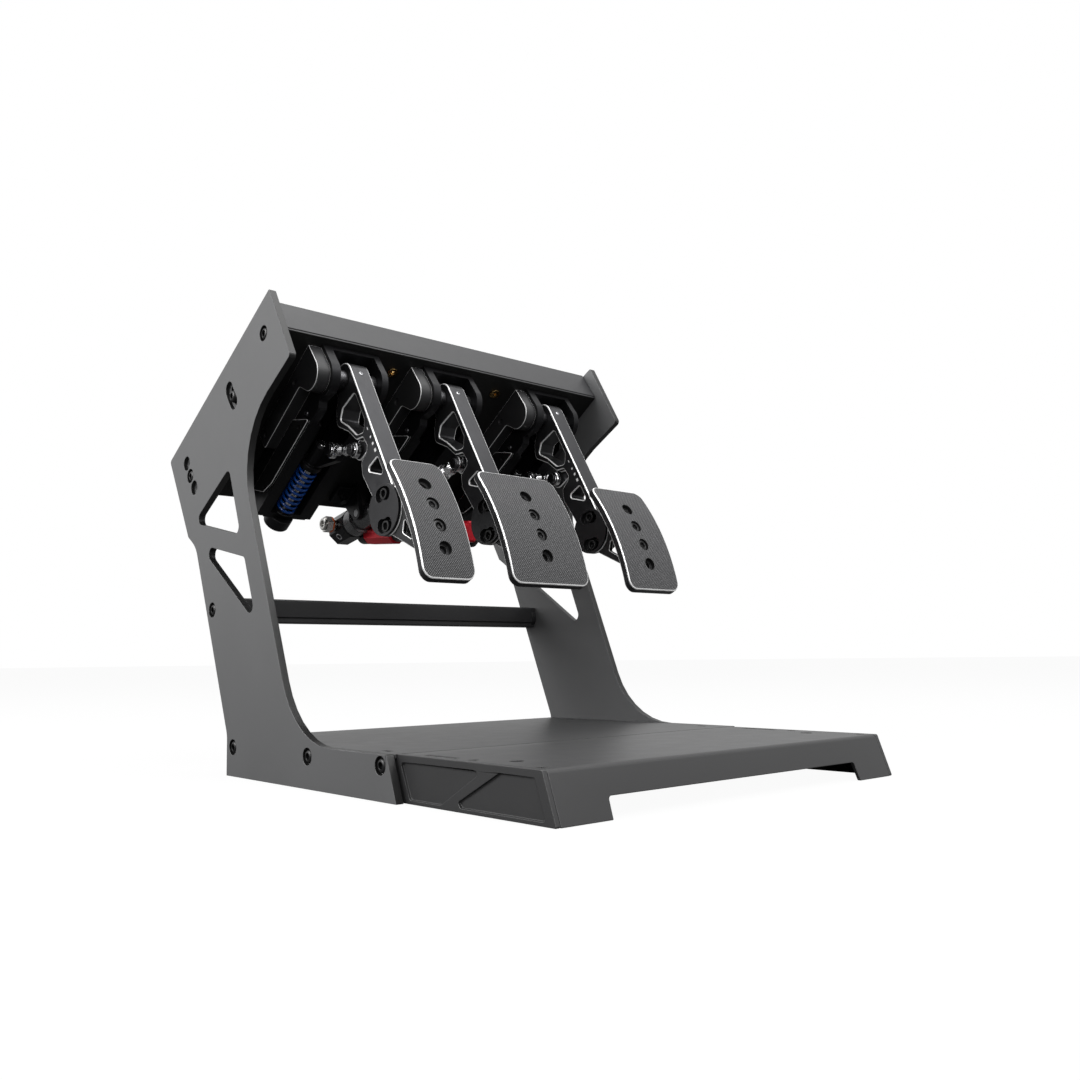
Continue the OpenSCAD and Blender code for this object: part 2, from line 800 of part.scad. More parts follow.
module body(x, l) {
  color([0.07, 0.07, 0.07])
    on_deck(x)
      difference() {
        union() {
          across(body_left, ear_left)
            polygon(wall_outline(l));
          across(ear_right, body_right)
            polygon(wall_outline(l));
          box(ear_left - 1, slot_left, throat_y, module_front + l, -body_h, 0);
          box(slot_right, ear_right + 1, throat_y, module_front + l, -body_h, 0);
          box(ear_left - 1, ear_right + 1, module_front, module_front + l, -web_t, 0);
          if (l == body_l)
            box(slot_left - 1, slot_right + 1, rear_wall_y, module_front + l, -body_h, 0);
          else
            box(slot_left - 1, slot_right + 1, module_front + l - rear_wall_t, module_front + l,
              -rear_lip_h, 0);
        }
        bar_x([pivot_y, -pivot_drop], pivot_r, body_left - 1, body_right + 1);
        bar_x([pivot_y, -pivot_drop], pin_head_r + 0.2, body_right - pin_head_t, body_right + 1);
        for (p = module_bolt_places(l))
          translate([p[0], p[1], -module_bolt_l])
            cylinder(r = m6_r, h = module_bolt_l + 1);
        if (l == body_l)
          translate([spring_x, rear_wall_y - 1, -spring_drop])
            rotate([-90, 0, 0])
              cylinder(r = guide_r, h = rear_wall_t + 2);
        for (z = [0.3, 0.72])
          across(slot_right - 1, slot_right + 1.2)
            polygon([
              [throat_y - 1, -body_h * z - 1.2], [module_front + l - rear_wall_t - 4, -body_h * z - 1.2],
              [module_front + l - rear_wall_t - 4, -body_h * z + 1.2], [throat_y - 1, -body_h * z + 1.2]]);
      }
}

rear_wall_t = 6;
rear_wall_y = module_front + body_l - rear_wall_t;
rear_lip_h = 15;
pin_head_r = 8;
pin_head_t = 3;

module clutch_body() {
  body(clutch_x, body_l);
}

module brake_body() {
  body(brake_x, brake_body_l);
}

module throttle_body() {
  body(throttle_x, body_l);
}

// Sensor housings: a round nose over the pivot's left end and a long box behind it
module sensor_housing(x) {
  left = body_left - sensor_w;
  nose_r = 14;
  color([0.09, 0.09, 0.09])
    on_deck(x)
      difference() {
        across(left, body_left - 0.05)
          polygon(concat(
            [[pivot_y - nose_r + 0.6, -0.2]],
            arc([pivot_y, -pivot_drop], nose_r, 180, 318),
            rounded_path([
              [pivot_y + nose_r * cos(318), -pivot_drop + nose_r * sin(318)],
              [pivot_y + nose_r + 3, -sensor_h, 4],
              [sensor_l, -sensor_h, 3],
              [sensor_l, -0.2]]),
            [[sensor_l, -0.2]]));
        bar_x([pivot_y, -pivot_drop], 9, left + 3, body_left + 1);
        for (p = [[30, -9], [sensor_l - 8, -9]])
          bar_x(p, 3, left - 1, left + 1.5);
      }
}

module clutch_sensor_housing() {
  sensor_housing(clutch_x);
}

module brake_sensor_housing() {
  sensor_housing(brake_x);
}

module throttle_sensor_housing() {
  sensor_housing(throttle_x);
}

// Side covers: bare slanted plates under the sensor housings, on the body's left face
module side_cover(x) {
  cover_t = 2.5;
  gap = 0.4;
  end_y = module_front + (x == brake_x ? brake_body_l : body_l);
  color([0.12, 0.12, 0.12])
    on_deck(x)
      difference() {
        across(body_left - cover_t, body_left)
          polygon(rounded([
            [42, -body_h + 1, 1.5],
            [62, -sensor_h - gap, 3],
            [end_y - 12, -sensor_h - gap, 1.5],
            [end_y - 26, -body_h + 5, 3],
            [end_y - 42, -body_h + 1, 3]]));
        for (y = [58, end_y - 30])
          bar_x([y, -body_h + 7], 1.6, body_left - cover_t - 1, body_left + 1);
      }
}

module clutch_side_cover() {
  side_cover(clutch_x);
}

module brake_side_cover() {
  side_cover(brake_x);
}

module throttle_side_cover() {
  side_cover(throttle_x);
}

// Pivot pins: a headed pin through both ears, with a spacer each side of the arm's hub
module pivot_pin(x) {
  p = [pivot_y, -pivot_drop];
  spacer_r = 8.5;
  rim = 0.3;
  color("silver")
    on_deck(x) {
      bar_x(p, pivot_r, body_left - 6, body_right - pin_head_t + 0.1);
      bar_x(p, pivot_r + 1.5, body_left - 8.5, body_left - 0.2);
      bar_x(p, pin_head_r, body_right - pin_head_t, body_right - 0.2);
      for (span = [[ear_left, -arm_t / 2 - rim], [arm_t / 2 + rim, ear_right]])
        difference() {
          bar_x(p, spacer_r, span[0], span[1]);
          bar_x(p, pivot_r + run_gap, span[0] - 1, span[1] + 1);
        }
    }
}

module clutch_pivot_pin() {
  pivot_pin(clutch_x);
}

module brake_pivot_pin() {
  pivot_pin(brake_x);
}

module throttle_pivot_pin() {
  pivot_pin(throttle_x);
}

// Arms. Outlines are given as [along the arm, behind its axis] and turned into the side view.
function arm_plane(points) = [for (p = points) len(p) == 3 ? [p[1], -p[0], p[2]] : [p[1], -p[0]]];
arm_end_r = 17;
arm_outline = arm_plane([
  [-arm_front, -arm_front, 12],
  [-arm_front, arm_front, 13],
  [8, 14, 5],
  [14.5, 21.5, 5],
  [27, 27.5, 7],
  [43, 15.5, 5],
  [57, 9.5, 5],
  [61.5, 0.5, 3],
  [74, -1.2, 5],
  [77, 12.5, 5],
  [88, 17, 6],
  [112, 14, 30],
  [disc_a + 16, arm_end_r - 3, 12],
  [disc_a + 16, -arm_front, 8]]);
arm_window = arm_plane([
  [21, -8.5, 3],
  [20, 12.5, 3],
  [26.5, 20.5, 3],
  [38.5, 13, 5],
  [53.5, 6.5, 4],
  [58.5, -2.5, 3],
  [50, -8.5, 3]]);
arm_triangle = arm_plane([
  [89, -8.5, 2],
  [88.5, 10.5, 2.5],
  [107, -8.5, 2]]);
lug_x = link_x + eye_t / 2 + 1.2;

module arm(x, eye) {
  lug = [eye[1], -eye[0]];
  color([0.1, 0.1, 0.1])
    on_arm(x)
      difference() {
        union() {
          across(-arm_t / 2, arm_t / 2)
            difference() {
              polygon(rounded(arm_outline));
              polygon(rounded(arm_window));
              polygon(rounded(arm_triangle));
            }
          bar_x(lug, 8, lug_x, arm_t / 2);
          across(lug_x, arm_t / 2)
            polygon([[-8, lug[1] - 8], [lug[0], lug[1] - 8], [lug[0], lug[1] + 8], [-2, lug[1] + 8]]);
        }
        bar_x([0, 0], pivot_r + run_gap, -arm_t / 2 - 1, arm_t / 2 + 1);
        bar_x(lug, eye_r + 1.6, -arm_t / 2 - 1, lug_x);
        bar_x(lug, link_pin_r, lug_x - 1, arm_t / 2 + 1);
        for (p = disc_bolt_places)
          bar_x(p, m6_r, -arm_t / 2 - 1, arm_t / 2 + 1);
      }
}

disc_centre = [-2, -disc_a];
disc_bolt_angle = -66;
disc_bolt_places = [for (s = [-1, 1])
  disc_centre + s * disc_bolt * [cos(disc_bolt_angle), sin(disc_bolt_angle)]];

module clutch_arm() {
  arm(clutch_x, eye_spring);
}

module brake_arm() {
  arm(brake_x, eye_brake);
}

module throttle_arm() {
  arm(throttle_x, eye_spring);
}

// Face brackets: a slotted disc on the arm's left side, a truss and a curved seat for the face
bracket_outline = arm_plane([
  [disc_a - 14, -14, 5],
  [disc_a - 4, -30.5, 4],
  [face_a + 47, -26.5, 2],
  [face_a + 46.5, -20.9, 1.5],
  [face_a + 20.6, -19, 4],
  [disc_a + 21, 2, 8],
  [disc_a + 14, 14, 8],
  [disc_a - 12, 12, 8]]);
truss_hole = arm_plane([
  [disc_a + 19.5, -18.5, 1.5],
  [disc_a + 28, -10.8, 2],
  [disc_a + 43, -20.5, 1.5]]);

module face_bracket(x) {
  left = -arm_t / 2 - bracket_t;
  color([0.11, 0.11, 0.11])
    on_arm(x)
      difference() {
        union() {
          across(left, -arm_t / 2)
            difference() {
              polygon(rounded(bracket_outline));
              polygon(rounded(truss_hole));
            }
          bar_x(disc_centre, disc_r, left - disc_proud, -arm_t / 2);
          in_face()
            box(left + 1, face_seat_w / 2, face_t - 3, face_t + seat_t, -seat_half, seat_half);
        }
        for (s = [0, 1])
          let (mid = disc_bolt_angle + 180 * s) {
            across(left - disc_proud - 1, left - disc_proud + bolt_sink)
              polygon(arc_slot(disc_centre, disc_bolt, 5.4, mid - 20, mid + 20));
            across(left - disc_proud - 1, -arm_t / 2 + 1)
              polygon(arc_slot(disc_centre, disc_bolt, m6_hole_r, mid - 12, mid + 12));
          }
        in_face() {
          face_back();
          for (s = [face_holes[1], face_holes[2]])
            face_bore(s, m6_r - 0.5);
        }
      }
}

bolt_sink = 4.2;
seat_t = 5;
seat_half = 20;
face_seat_w = 20;

// The space in front of the face's curved back, which nothing behind the face may enter
module face_back() {
  translate([-60, face_curve_r, 0])
    rotate([0, 90, 0])
      difference() {
        cylinder(r = face_curve_r + 40, h = 120, $fn = 180);
        translate([0, 0, -1])
          cylinder(r = face_curve_r - face_t, h = 122, $fn = 180);
      }
}

// A bore square to the curved face, at a distance s below its middle
module face_bore(s, r) {
  translate([0, face_curve_r, 0])
    rotate([s / face_curve_r * 180 / PI, 0, 0])
      translate([0, -face_curve_r - 2, 0])
        rotate([-90, 0, 0])
          cylinder(r = r, h = face_t + seat_t + 8);
}

module clutch_face_bracket() {
  face_bracket(clutch_x);
}

module brake_face_bracket() {
  face_bracket(brake_x);
}

module throttle_face_bracket() {
  face_bracket(throttle_x);
}

// Faces: curved plates with four counterbored holes on their middle line
module face(x, w) {
  color([0.2, 0.2, 0.2])
    on_face(x)
      difference() {
        intersection() {
          translate([0, -2, 0])
            rotate([-90, 0, 0])
              linear_extrude(2 * face_t + 12)
                polygon(rounded([
                  [-w / 2, -face_h / 2, face_corner_r],
                  [w / 2, -face_h / 2, face_corner_r],
                  [w / 2, face_h / 2, face_corner_r],
                  [-w / 2, face_h / 2, face_corner_r]]));
          translate([-w, face_curve_r, 0])
            rotate([0, 90, 0])
              difference() {
                cylinder(r = face_curve_r, h = 2 * w, $fn = 180);
                translate([0, 0, -1])
                  cylinder(r = face_curve_r - face_t, h = 2 * w + 2, $fn = 180);
              }
        }
        for (s = face_holes) {
          face_counterbore(s);
          face_bore(s, m6_hole_r);
        }
      }
}

module face_counterbore(s) {
  translate([0, face_curve_r, 0])
    rotate([s / face_curve_r * 180 / PI, 0, 0])
      translate([0, -face_curve_r - 2, 0])
        rotate([-90, 0, 0])
          cylinder(r = face_hole_r, h = 2 + face_t - face_seat);
}

module clutch_face() {
  face(clutch_x, clutch_face_w);
}

module brake_face() {
  face(brake_x, brake_face_w);
}

module throttle_face() {
  face(throttle_x, throttle_face_w);
}

module bracket_bolts(x) {
  head_x = -arm_t / 2 - bracket_t - disc_proud + bolt_sink;
  color("black")
    on_arm(x)
      for (p = disc_bolt_places) {
        bar_x(p, m6_r, head_x - 0.1, arm_t / 2 - 1);
        difference() {
          bar_x(p, 4.6, head_x - bolt_sink, head_x);
          bar_x(p, 2.2, head_x - bolt_sink - 1, head_x - 1.5);
        }
      }
}

module clutch_bracket_bolts() {
  bracket_bolts(clutch_x);
}

module brake_bracket_bolts() {
  bracket_bolts(brake_x);
}

module throttle_bracket_bolts() {
  bracket_bolts(throttle_x);
}

module face_screws(x) {
  color("black")
    on_face(x)
      for (s = [face_holes[1], face_holes[2]])
        translate([0, face_curve_r, 0])
          rotate([s / face_curve_r * 180 / PI, 0, 0])
            translate([0, -face_curve_r + face_t - face_seat, 0])
              rotate([-90, 0, 0]) {
                cylinder(r = m6_r - 0.5, h = face_seat + seat_t);
                translate([0, 0, -2.8])
                  difference() {
                    cylinder(r = face_head_r, h = 2.8);
                    translate([0, 0, -1])
                      cylinder(r = 2.2, h = 2.5);
                  }
              }
}

module clutch_face_screws() {
  face_screws(clutch_x);
}

module brake_face_screws() {
  face_screws(brake_x);
}

module throttle_face_screws() {
  face_screws(throttle_x);
}

// Shoulder bolts that carry the rod-end eyes on the arms
module eye_bolt(x, eye) {
  p = [eye[1], -eye[0]];
  color("silver")
    on_arm(x) {
      bar_x(p, link_pin_r, link_x - eye_t / 2 - 0.4, arm_t / 2 + 4);
      bar_x(p, link_pin_r + 2, link_x - eye_t / 2 - 3, link_x - eye_t / 2 - 0.3);
      translate([arm_t / 2 + 0.05, p[0], p[1]])
        rotate([0, 90, 0])
          cylinder(r = 4.6, h = 3.5, $fn = 6);
    }
}

module clutch_eye_bolt() {
  eye_bolt(clutch_x, eye_spring);
}

module brake_eye_bolt() {
  eye_bolt(brake_x, eye_brake);
}

module throttle_eye_bolt() {
  eye_bolt(throttle_x, eye_spring);
}

// Links: two rod-end eyes joined by a threaded rod with lock nuts
module link(x) {
  rod_r = 3;
  a = [link_x - eye_t / 2, link_x + eye_t / 2];
  color("silver")
    on_deck(x)
      translate([0, spring_eye[0], spring_eye[1]])
        rotate([link_angle, 0, 0])
          difference() {
            union() {
              bar_x([0, 0], eye_r, a[0], a[1]);
              bar_x([link_l, 0], eye_r + 0.6, a[0], a[1]);
              translate([link_x, eye_r - 2, 0])
                rotate([-90, 0, 0])
                  cylinder(r = rod_r, h = link_l - 2 * eye_r + 4);
              for (y = [eye_r + 2.2, link_l - eye_r - 6.6])
                translate([link_x, y, 0])
                  rotate([-90, 0, 0])
                    cylinder(r = 4.8, h = 4, $fn = 6);
            }
            bar_x([0, 0], link_pin_r + run_gap, a[0] - 1, a[1] + 1);
            bar_x([link_l, 0], link_pin_r + open_gap, a[0] - 1, a[1] + 1);
          }
}

module clutch_link() {
  link(clutch_x);
}

module throttle_link() {
  link(throttle_x);
}

// Plungers: a sleeve on the guide rod with a collar for the spring and a lug for the link's pin
module plunger(x) {
  sleeve_r = guide_r + 2.6;
  lug_in = link_x + eye_t / 2 + 0.5;
  lug_out = lug_in + 6;
  color([0.13, 0.13, 0.13])
    on_deck(x)
      difference() {
        union() {
          translate([spring_x, guide_front + 2, -spring_drop])
            rotate([-90, 0, 0])
              cylinder(r = sleeve_r, h = spring_front - guide_front - 2);
          translate([spring_x, spring_front - collar_t, -spring_drop])
            rotate([-90, 0, 0])
              cylinder(r = spring_r + 0.6, h = collar_t);
          across(lug_in, lug_out)
            polygon(rounded([
              [guide_front + 2.5, -spring_drop - guide_r - 0.6, 1],
              [spring_front - collar_t, -spring_drop - guide_r - 0.6, 1],
              [spring_front - collar_t, -spring_drop - sleeve_r - 1.5, 2],
              [plunger_pin[0] + 6, plunger_pin[1] - 6.5, 6],
              [plunger_pin[0] - 6, plunger_pin[1] - 6.5, 6],
              [plunger_pin[0] - 6, plunger_pin[1] + 5, 5]]));
          bar_x(plunger_pin, link_pin_r, link_x - eye_t / 2 - 0.4, lug_in + 1);
          bar_x(plunger_pin, link_pin_r + open_gap + 1.2, link_x - eye_t / 2 - 2.4,
            link_x - eye_t / 2 - 0.4);
        }
        translate([spring_x, guide_front - 20, -spring_drop])
          rotate([-90, 0, 0])
            cylinder(r = guide_r + run_gap, h = spring_front);
      }
}

module clutch_plunger() {
  plunger(clutch_x);
}

module throttle_plunger() {
  plunger(throttle_x);
}

module guide_rod(x) {
  color("silver")
    on_deck(x)
      translate([spring_x, guide_front, -spring_drop])
        rotate([-90, 0, 0])
          cylinder(r = guide_r, h = module_front + body_l + cap_l - 3 - guide_front);
}

module clutch_guide_rod() {
  guide_rod(clutch_x);
}

module throttle_guide_rod() {
  guide_rod(throttle_x);
}

// Spring caps: knurled preload adjusters behind the body's rear wall, with the spring's seat
module spring_cap(x) {
  seat_r = spring_r + 0.4;
  back = module_front + body_l;
  color([0.15, 0.15, 0.15])
    on_deck(x)
      difference() {
        union() {
          translate([spring_x, back + 0.05, -spring_drop])
            rotate([-90, 0, 0])
              cylinder(r = cap_r, h = cap_l);
          translate([spring_x, spring_back, -spring_drop])
            rotate([-90, 0, 0])
              cylinder(r = seat_r, h = rear_wall_y - 0.05 - spring_back);
        }
        translate([spring_x, spring_back - 1, -spring_drop])
          rotate([-90, 0, 0])
            cylinder(r = guide_r + run_gap, h = back - spring_back + cap_l - 1);
      }
}

module clutch_spring_cap() {
  spring_cap(clutch_x);
}

module throttle_spring_cap() {
  spring_cap(throttle_x);
}

// Springs: one helical tube with straight ends along the axis
spring_sides = 6;
rings_per_turn = 8;
coil_r = spring_r - wire_d / 2;
coil_l = spring_l - 2 * wire_d;
coil_steps = spring_turns * rings_per_turn;
function coil_point(i) = let (t = i / coil_steps)
  [coil_r * cos(360 * spring_turns * t), wire_d + coil_l * t, coil_r * sin(360 * spring_turns * t)];
spring_path = concat(
  [[coil_r, 0, 0]],
  [for (i = [0 : coil_steps]) coil_point(i)],
  [[coil_point(coil_steps)[0], spring_l, coil_point(coil_steps)[2]]]);
spring_n = len(spring_path);
function heading(i) = i == 0 || i == spring_n - 1 ? [0, 1, 0] :
  unit(unit(spring_path[i + 1] - spring_path[i]) + unit(spring_path[i] - spring_path[i - 1]));
function spring_ring(i) = let (
    h = heading(i),
    out = unit([spring_path[i][0], 0, spring_path[i][2]]),
    side = unit(cross(h, out)),
    up = cross(side, h))
  [for (k = [0 : spring_sides - 1])
    spring_path[i] + wire_d / 2 * (cos(360 * k / spring_sides) * up + sin(360 * k / spring_sides) * side)];
spring_points = [for (i = [0 : spring_n - 1]) for (p = spring_ring(i)) p];
spring_faces = concat(
  [for (i = [0 : spring_n - 2]) for (k = [0 : spring_sides - 1])
    let (a = i * spring_sides + k, b = i * spring_sides + (k + 1) % spring_sides)
      [a, b, b + spring_sides]],
  [for (i = [0 : spring_n - 2]) for (k = [0 : spring_sides - 1])
    let (a = i * spring_sides + k, b = i * spring_sides + (k + 1) % spring_sides)
      [a, b + spring_sides, a + spring_sides]],
  [for (k = [1 : spring_sides - 2]) [0, k + 1, k]],
  [for (k = [1 : spring_sides - 2])
    (spring_n - 1) * spring_sides * [1, 1, 1] + [0, k, k + 1]]);
spring_gap = min([for (i = [0 : coil_steps - rings_per_turn])
  for (j = [i + rings_per_turn - 2 : min(i + rings_per_turn + 2, coil_steps)])
    norm(coil_point(i) - coil_point(j))]) - wire_d;
echo(least_spring_gap = spring_gap);

module spring(x) {
  color("royalblue")
    on_deck(x)
      translate([spring_x, spring_front, -spring_drop])
        polyhedron(spring_points, spring_faces);
}

module clutch_spring() {
  spring(clutch_x);
}

module throttle_spring() {
  spring(throttle_x);
}

// Brake: pushrod, master cylinder on trunnions, end block, pressure barrel and banjo.
// In the thrust frame the trunnion is the origin and the arm's eye lies at -Y.
pushrod_r = 3.5;
cylinder_front = -54;
cylinder_back = 16;
pushrod_back = cylinder_front + 24;
brake_travel = 10;

module thrust_tube(r, y0, y1) {
  translate([0, y0, 0])
    rotate([-90, 0, 0])
      cylinder(r = r, h = y1 - y0);
}

module brake_pushrod() {
  color("silver")
    on_thrust(brake_x + link_x)
      difference() {
        union() {
          bar_x([-thrust_l, 0], eye_r, -eye_t / 2, eye_t / 2);
          thrust_tube(pushrod_r, -thrust_l + eye_r - 2, pushrod_back);
          translate([0, -thrust_l + eye_r + 2, 0])
            rotate([-90, 0, 0])
              cylinder(r = 6, h = 6, $fn = 6);
          thrust_tube(7, -thrust_l + 20, -thrust_l + 24);
        }
        bar_x([-thrust_l, 0], link_pin_r + open_gap / 2, -eye_t / 2 - 1, eye_t / 2 + 1);
      }
}

module brake_cylinder() {
  color([0.3, 0.3, 0.31])
    on_thrust(brake_x + link_x)
      difference() {
        union() {
          thrust_tube(cylinder_r, cylinder_front + 14, cylinder_back);
          thrust_tube(cylinder_r - 3, cylinder_front, cylinder_front + 15);
          thrust_tube(cylinder_r + 1.2, -18, -14);
          bar_x([0, 0], trunnion_r, -cylinder_r - hanger_gap - hanger_t,
            cylinder_r + hanger_gap + hanger_t);
        }
        thrust_tube(pushrod_r + run_gap, cylinder_front - 1, pushrod_back + brake_travel + 2);
      }
}

block_l = 24;
block_half = 13;
boss_l = 16;
module brake_cylinder_block() {
  start = cylinder_back + 0.05;
  color([0.08, 0.08, 0.08])
    union() {
      on_thrust(brake_x + link_x)
        difference() {
          translate([0, start, 0])
            rotate([-90, 0, 0])
              rotate(22.5)
                cylinder(r = block_half / cos(22.5), h = block_l, $fn = 8);
          translate([0, start + block_l / 2, -block_half - 1])
            cylinder(r = 2, h = 6);
        }
      on_barrel()
        translate([0, 0.05, 0])
          rotate([-90, 0, 0])
            cylinder(r = barrel_r, h = boss_l);
    }
}

// The pressure barrel hangs beside the cylinder, nearly level on the stand
module on_barrel() {
  on_deck(brake_x + barrel_x)
    translate([0, barrel_seat[0], barrel_seat[1]])
      rotate([barrel_rise, 0, 0])
        children();
}

module brake_pressure_barrel() {
  color([0.75, 0.05, 0.08])
    on_barrel() {
      translate([0, -barrel_l, 0])
        rotate([-90, 0, 0])
          rotate(22.5)
            cylinder(r = barrel_r / cos(22.5), h = barrel_l, $fn = 8);
    }
}

module brake_banjo() {
  color("silver")
    on_thrust(brake_x + link_x) {
      translate([-block_half - 9, cylinder_back + 14, 4])
        rotate([0, 90, 0]) {
          cylinder(r = 6.5, h = 5);
          translate([0, 0, 5])
            cylinder(r = 7.2, h = 1.5);
          translate([0, 0, -3.5])
            cylinder(r = 5.5, h = 3.6, $fn = 6);
          cylinder(r = 3, h = 8.9);
        }
    }
}

// Hanger: two cheeks under the deck that carry the cylinder's trunnions
module brake_cylinder_hanger() {
  inner = cylinder_r + hanger_gap;
  y = trunnion[0];
  z = trunnion[1];
  color([0.08, 0.08, 0.08])
    on_deck(brake_x + link_x)
      difference() {
        both_sides() {
          across(inner, inner + hanger_t)
            polygon(concat(
              [[y - 16, 0]],
              arc([y, z], 9, 190, 350),
              [[y + 14, 0]]));
          box(inner, hanger_bolt_x + 7, y - 12, y + 10, -5, 0);
        }
        bar_x([y, z], trunnion_r + run_gap, -inner - hanger_t - 1, inner + hanger_t + 1);
        for (side = [-1, 1])
          translate([side * hanger_bolt_x, y - 1, -6])
            cylinder(r = m6_r, h = 8);
      }
}

left_side_plate();
right_side_plate();
rear_floor_plate();
front_floor_plate();
left_side_rail();
right_side_rail();
cross_bar();
pedal_deck();
side_bolts();
side_nuts();
seam_screws();
deck_inserts();
module_bolts();
clutch_body();
brake_body();
throttle_body();
clutch_sensor_housing();
brake_sensor_housing();
throttle_sensor_housing();
clutch_side_cover();
brake_side_cover();
throttle_side_cover();
clutch_pivot_pin();
brake_pivot_pin();
throttle_pivot_pin();
clutch_arm();
brake_arm();
throttle_arm();
clutch_face_bracket();
brake_face_bracket();
throttle_face_bracket();
clutch_face();
brake_face();
throttle_face();
clutch_bracket_bolts();
brake_bracket_bolts();
throttle_bracket_bolts();
clutch_face_screws();
brake_face_screws();
throttle_face_screws();
clutch_eye_bolt();
brake_eye_bolt();
throttle_eye_bolt();
clutch_link();
throttle_link();
clutch_plunger();
throttle_plunger();
clutch_guide_rod();
throttle_guide_rod();
clutch_spring();
throttle_spring();
clutch_spring_cap();
throttle_spring_cap();
brake_pushrod();
brake_cylinder();
brake_cylinder_block();
brake_pressure_barrel();
brake_banjo();
brake_cylinder_hanger();
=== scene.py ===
import json
import math
import bmesh
import bpy
from mathutils import Matrix, Vector


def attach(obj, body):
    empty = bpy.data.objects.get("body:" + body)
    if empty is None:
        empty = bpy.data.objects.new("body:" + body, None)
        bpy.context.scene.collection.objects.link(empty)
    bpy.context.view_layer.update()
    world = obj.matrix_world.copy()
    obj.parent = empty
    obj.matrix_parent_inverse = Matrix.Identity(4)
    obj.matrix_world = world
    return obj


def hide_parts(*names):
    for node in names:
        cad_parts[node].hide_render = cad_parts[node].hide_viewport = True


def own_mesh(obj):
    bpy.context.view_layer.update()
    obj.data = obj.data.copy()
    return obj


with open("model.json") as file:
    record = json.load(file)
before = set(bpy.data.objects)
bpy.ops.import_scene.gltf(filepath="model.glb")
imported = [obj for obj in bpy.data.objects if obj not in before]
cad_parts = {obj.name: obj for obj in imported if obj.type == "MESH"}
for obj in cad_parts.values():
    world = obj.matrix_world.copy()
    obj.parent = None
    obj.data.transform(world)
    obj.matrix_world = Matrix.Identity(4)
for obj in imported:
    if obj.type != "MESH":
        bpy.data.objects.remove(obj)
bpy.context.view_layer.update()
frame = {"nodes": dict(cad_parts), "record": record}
nodes = frame["nodes"]
body_of_node = {n: b for b, members in frame["record"]["behaviour"]["bodies"].items() for n in members}

# The deck, the middles of the three modules on it, the two of them with springs, and the side
# plates' bolts at (y, z), as in the CAD source, in metres and degrees
DECK_Y = 0.070486
DECK_Z = 0.348296
DECK_SLOPE = -35
MODULES = {"clutch": -0.1055, "brake": -0.004, "throttle": 0.1175}
SPRUNG = ("clutch", "throttle")
SIDE_BOLTS = ((0.0750756, 0.3548486), (0.1319242, 0.3150429), (0.2128549, 0.2583745), (0.1632244, 0.1364),
    (0.1209244, 0.0234), (0.0002244, 0.0234), (-0.0954756, 0.0234))
PLATE_FACE_X = 0.179

# Places in a module, from the deck's origin at the module's middle
PIVOT = Vector((0, 0.009, -0.021))
SIDE_SCREW = (-0.0288, 0.0445, -0.0285)
SPRING_START = Vector((-0.0025, 0.098, -0.0334))
SPRING_LENGTH = 0.057
LINK_X = -0.007
ARM_EYE = Vector((0, 0.030933, -0.0804625))
PLUNGER_PIN = Vector((0, 0.0575, -0.0547))
LINK_LENGTH = (PLUNGER_PIN - ARM_EYE).length
LINK_ANGLE = math.degrees(math.atan2(PLUNGER_PIN.z - ARM_EYE.z, PLUNGER_PIN.y - ARM_EYE.y))
PUSHROD_EYE = Vector((0, 0.0264224, -0.0843283))
TRUNNION = Vector((0, 0.160, -0.026))
THRUST_ANGLE = math.degrees(math.atan2(TRUNNION.z - PUSHROD_EYE.z, TRUNNION.y - PUSHROD_EYE.y))

# Places on an arm, from its pivot
ARM_LEAN = 4.5
ARM_FRONT = -0.0135
STRAP_SCREW_Z = -0.0028
DISC_CENTRE = Vector((0, -0.002, -0.138))
DISC_SLOT_REACH = 0.0192
DISC_LEFT_X = -0.0118
DISC_BOLT_REACH = 0.0129
DISC_BOLT_SLOPE = -66

# Places on a pedal face, whose front is part of a round: along its middle line, and its holes
FACE_MIDDLE = (0, -0.0395, -0.1679)
FACE_LEAN = 3.5
FACE_CURVE = 0.203
FACE_SCREWS = (-0.0092, 0.0101)
FACE_SEAT_DEPTH = 0.0039
OPEN_FACE_HOLES = (-0.0285, 0.0294)
HOLE_ROW_HALF_WIDTH = 0.0068
HOLE_ROW_HALF_LENGTH = 0.037


def turn_x(degrees):
    return Matrix.Rotation(math.radians(degrees), 4, "X")


def turn_y(degrees):
    return Matrix.Rotation(math.radians(degrees), 4, "Y")


def turn_z(degrees):
    return Matrix.Rotation(math.radians(degrees), 4, "Z")


def move(x=0, y=0, z=0):
    return Matrix.Translation((x, y, z))


def deck_place(x):
    return move(x, DECK_Y, DECK_Z) @ turn_x(DECK_SLOPE)


def arm_place(x):
    return deck_place(x) @ move(*PIVOT) @ turn_x(ARM_LEAN)


def face_place(x):
    return arm_place(x) @ move(*FACE_MIDDLE) @ turn_x(FACE_LEAN)


# A place behind the curved front of a face, along its middle line
def behind_face(x, along, depth):
    angle = math.degrees(along / FACE_CURVE)
    return face_place(x) @ move(0, FACE_CURVE, 0) @ turn_x(angle) @ move(0, depth - FACE_CURVE, 0)


def link_place(x):
    return deck_place(x) @ move(LINK_X, ARM_EYE.y, ARM_EYE.z) @ turn_x(LINK_ANGLE)


# What is made along Z is turned to lie along X or Y, or to face left or front
ALONG_X = turn_y(90)
ALONG_Y = turn_x(-90)
FACING_LEFT = turn_y(-90)
FACING_FRONT = turn_x(90)


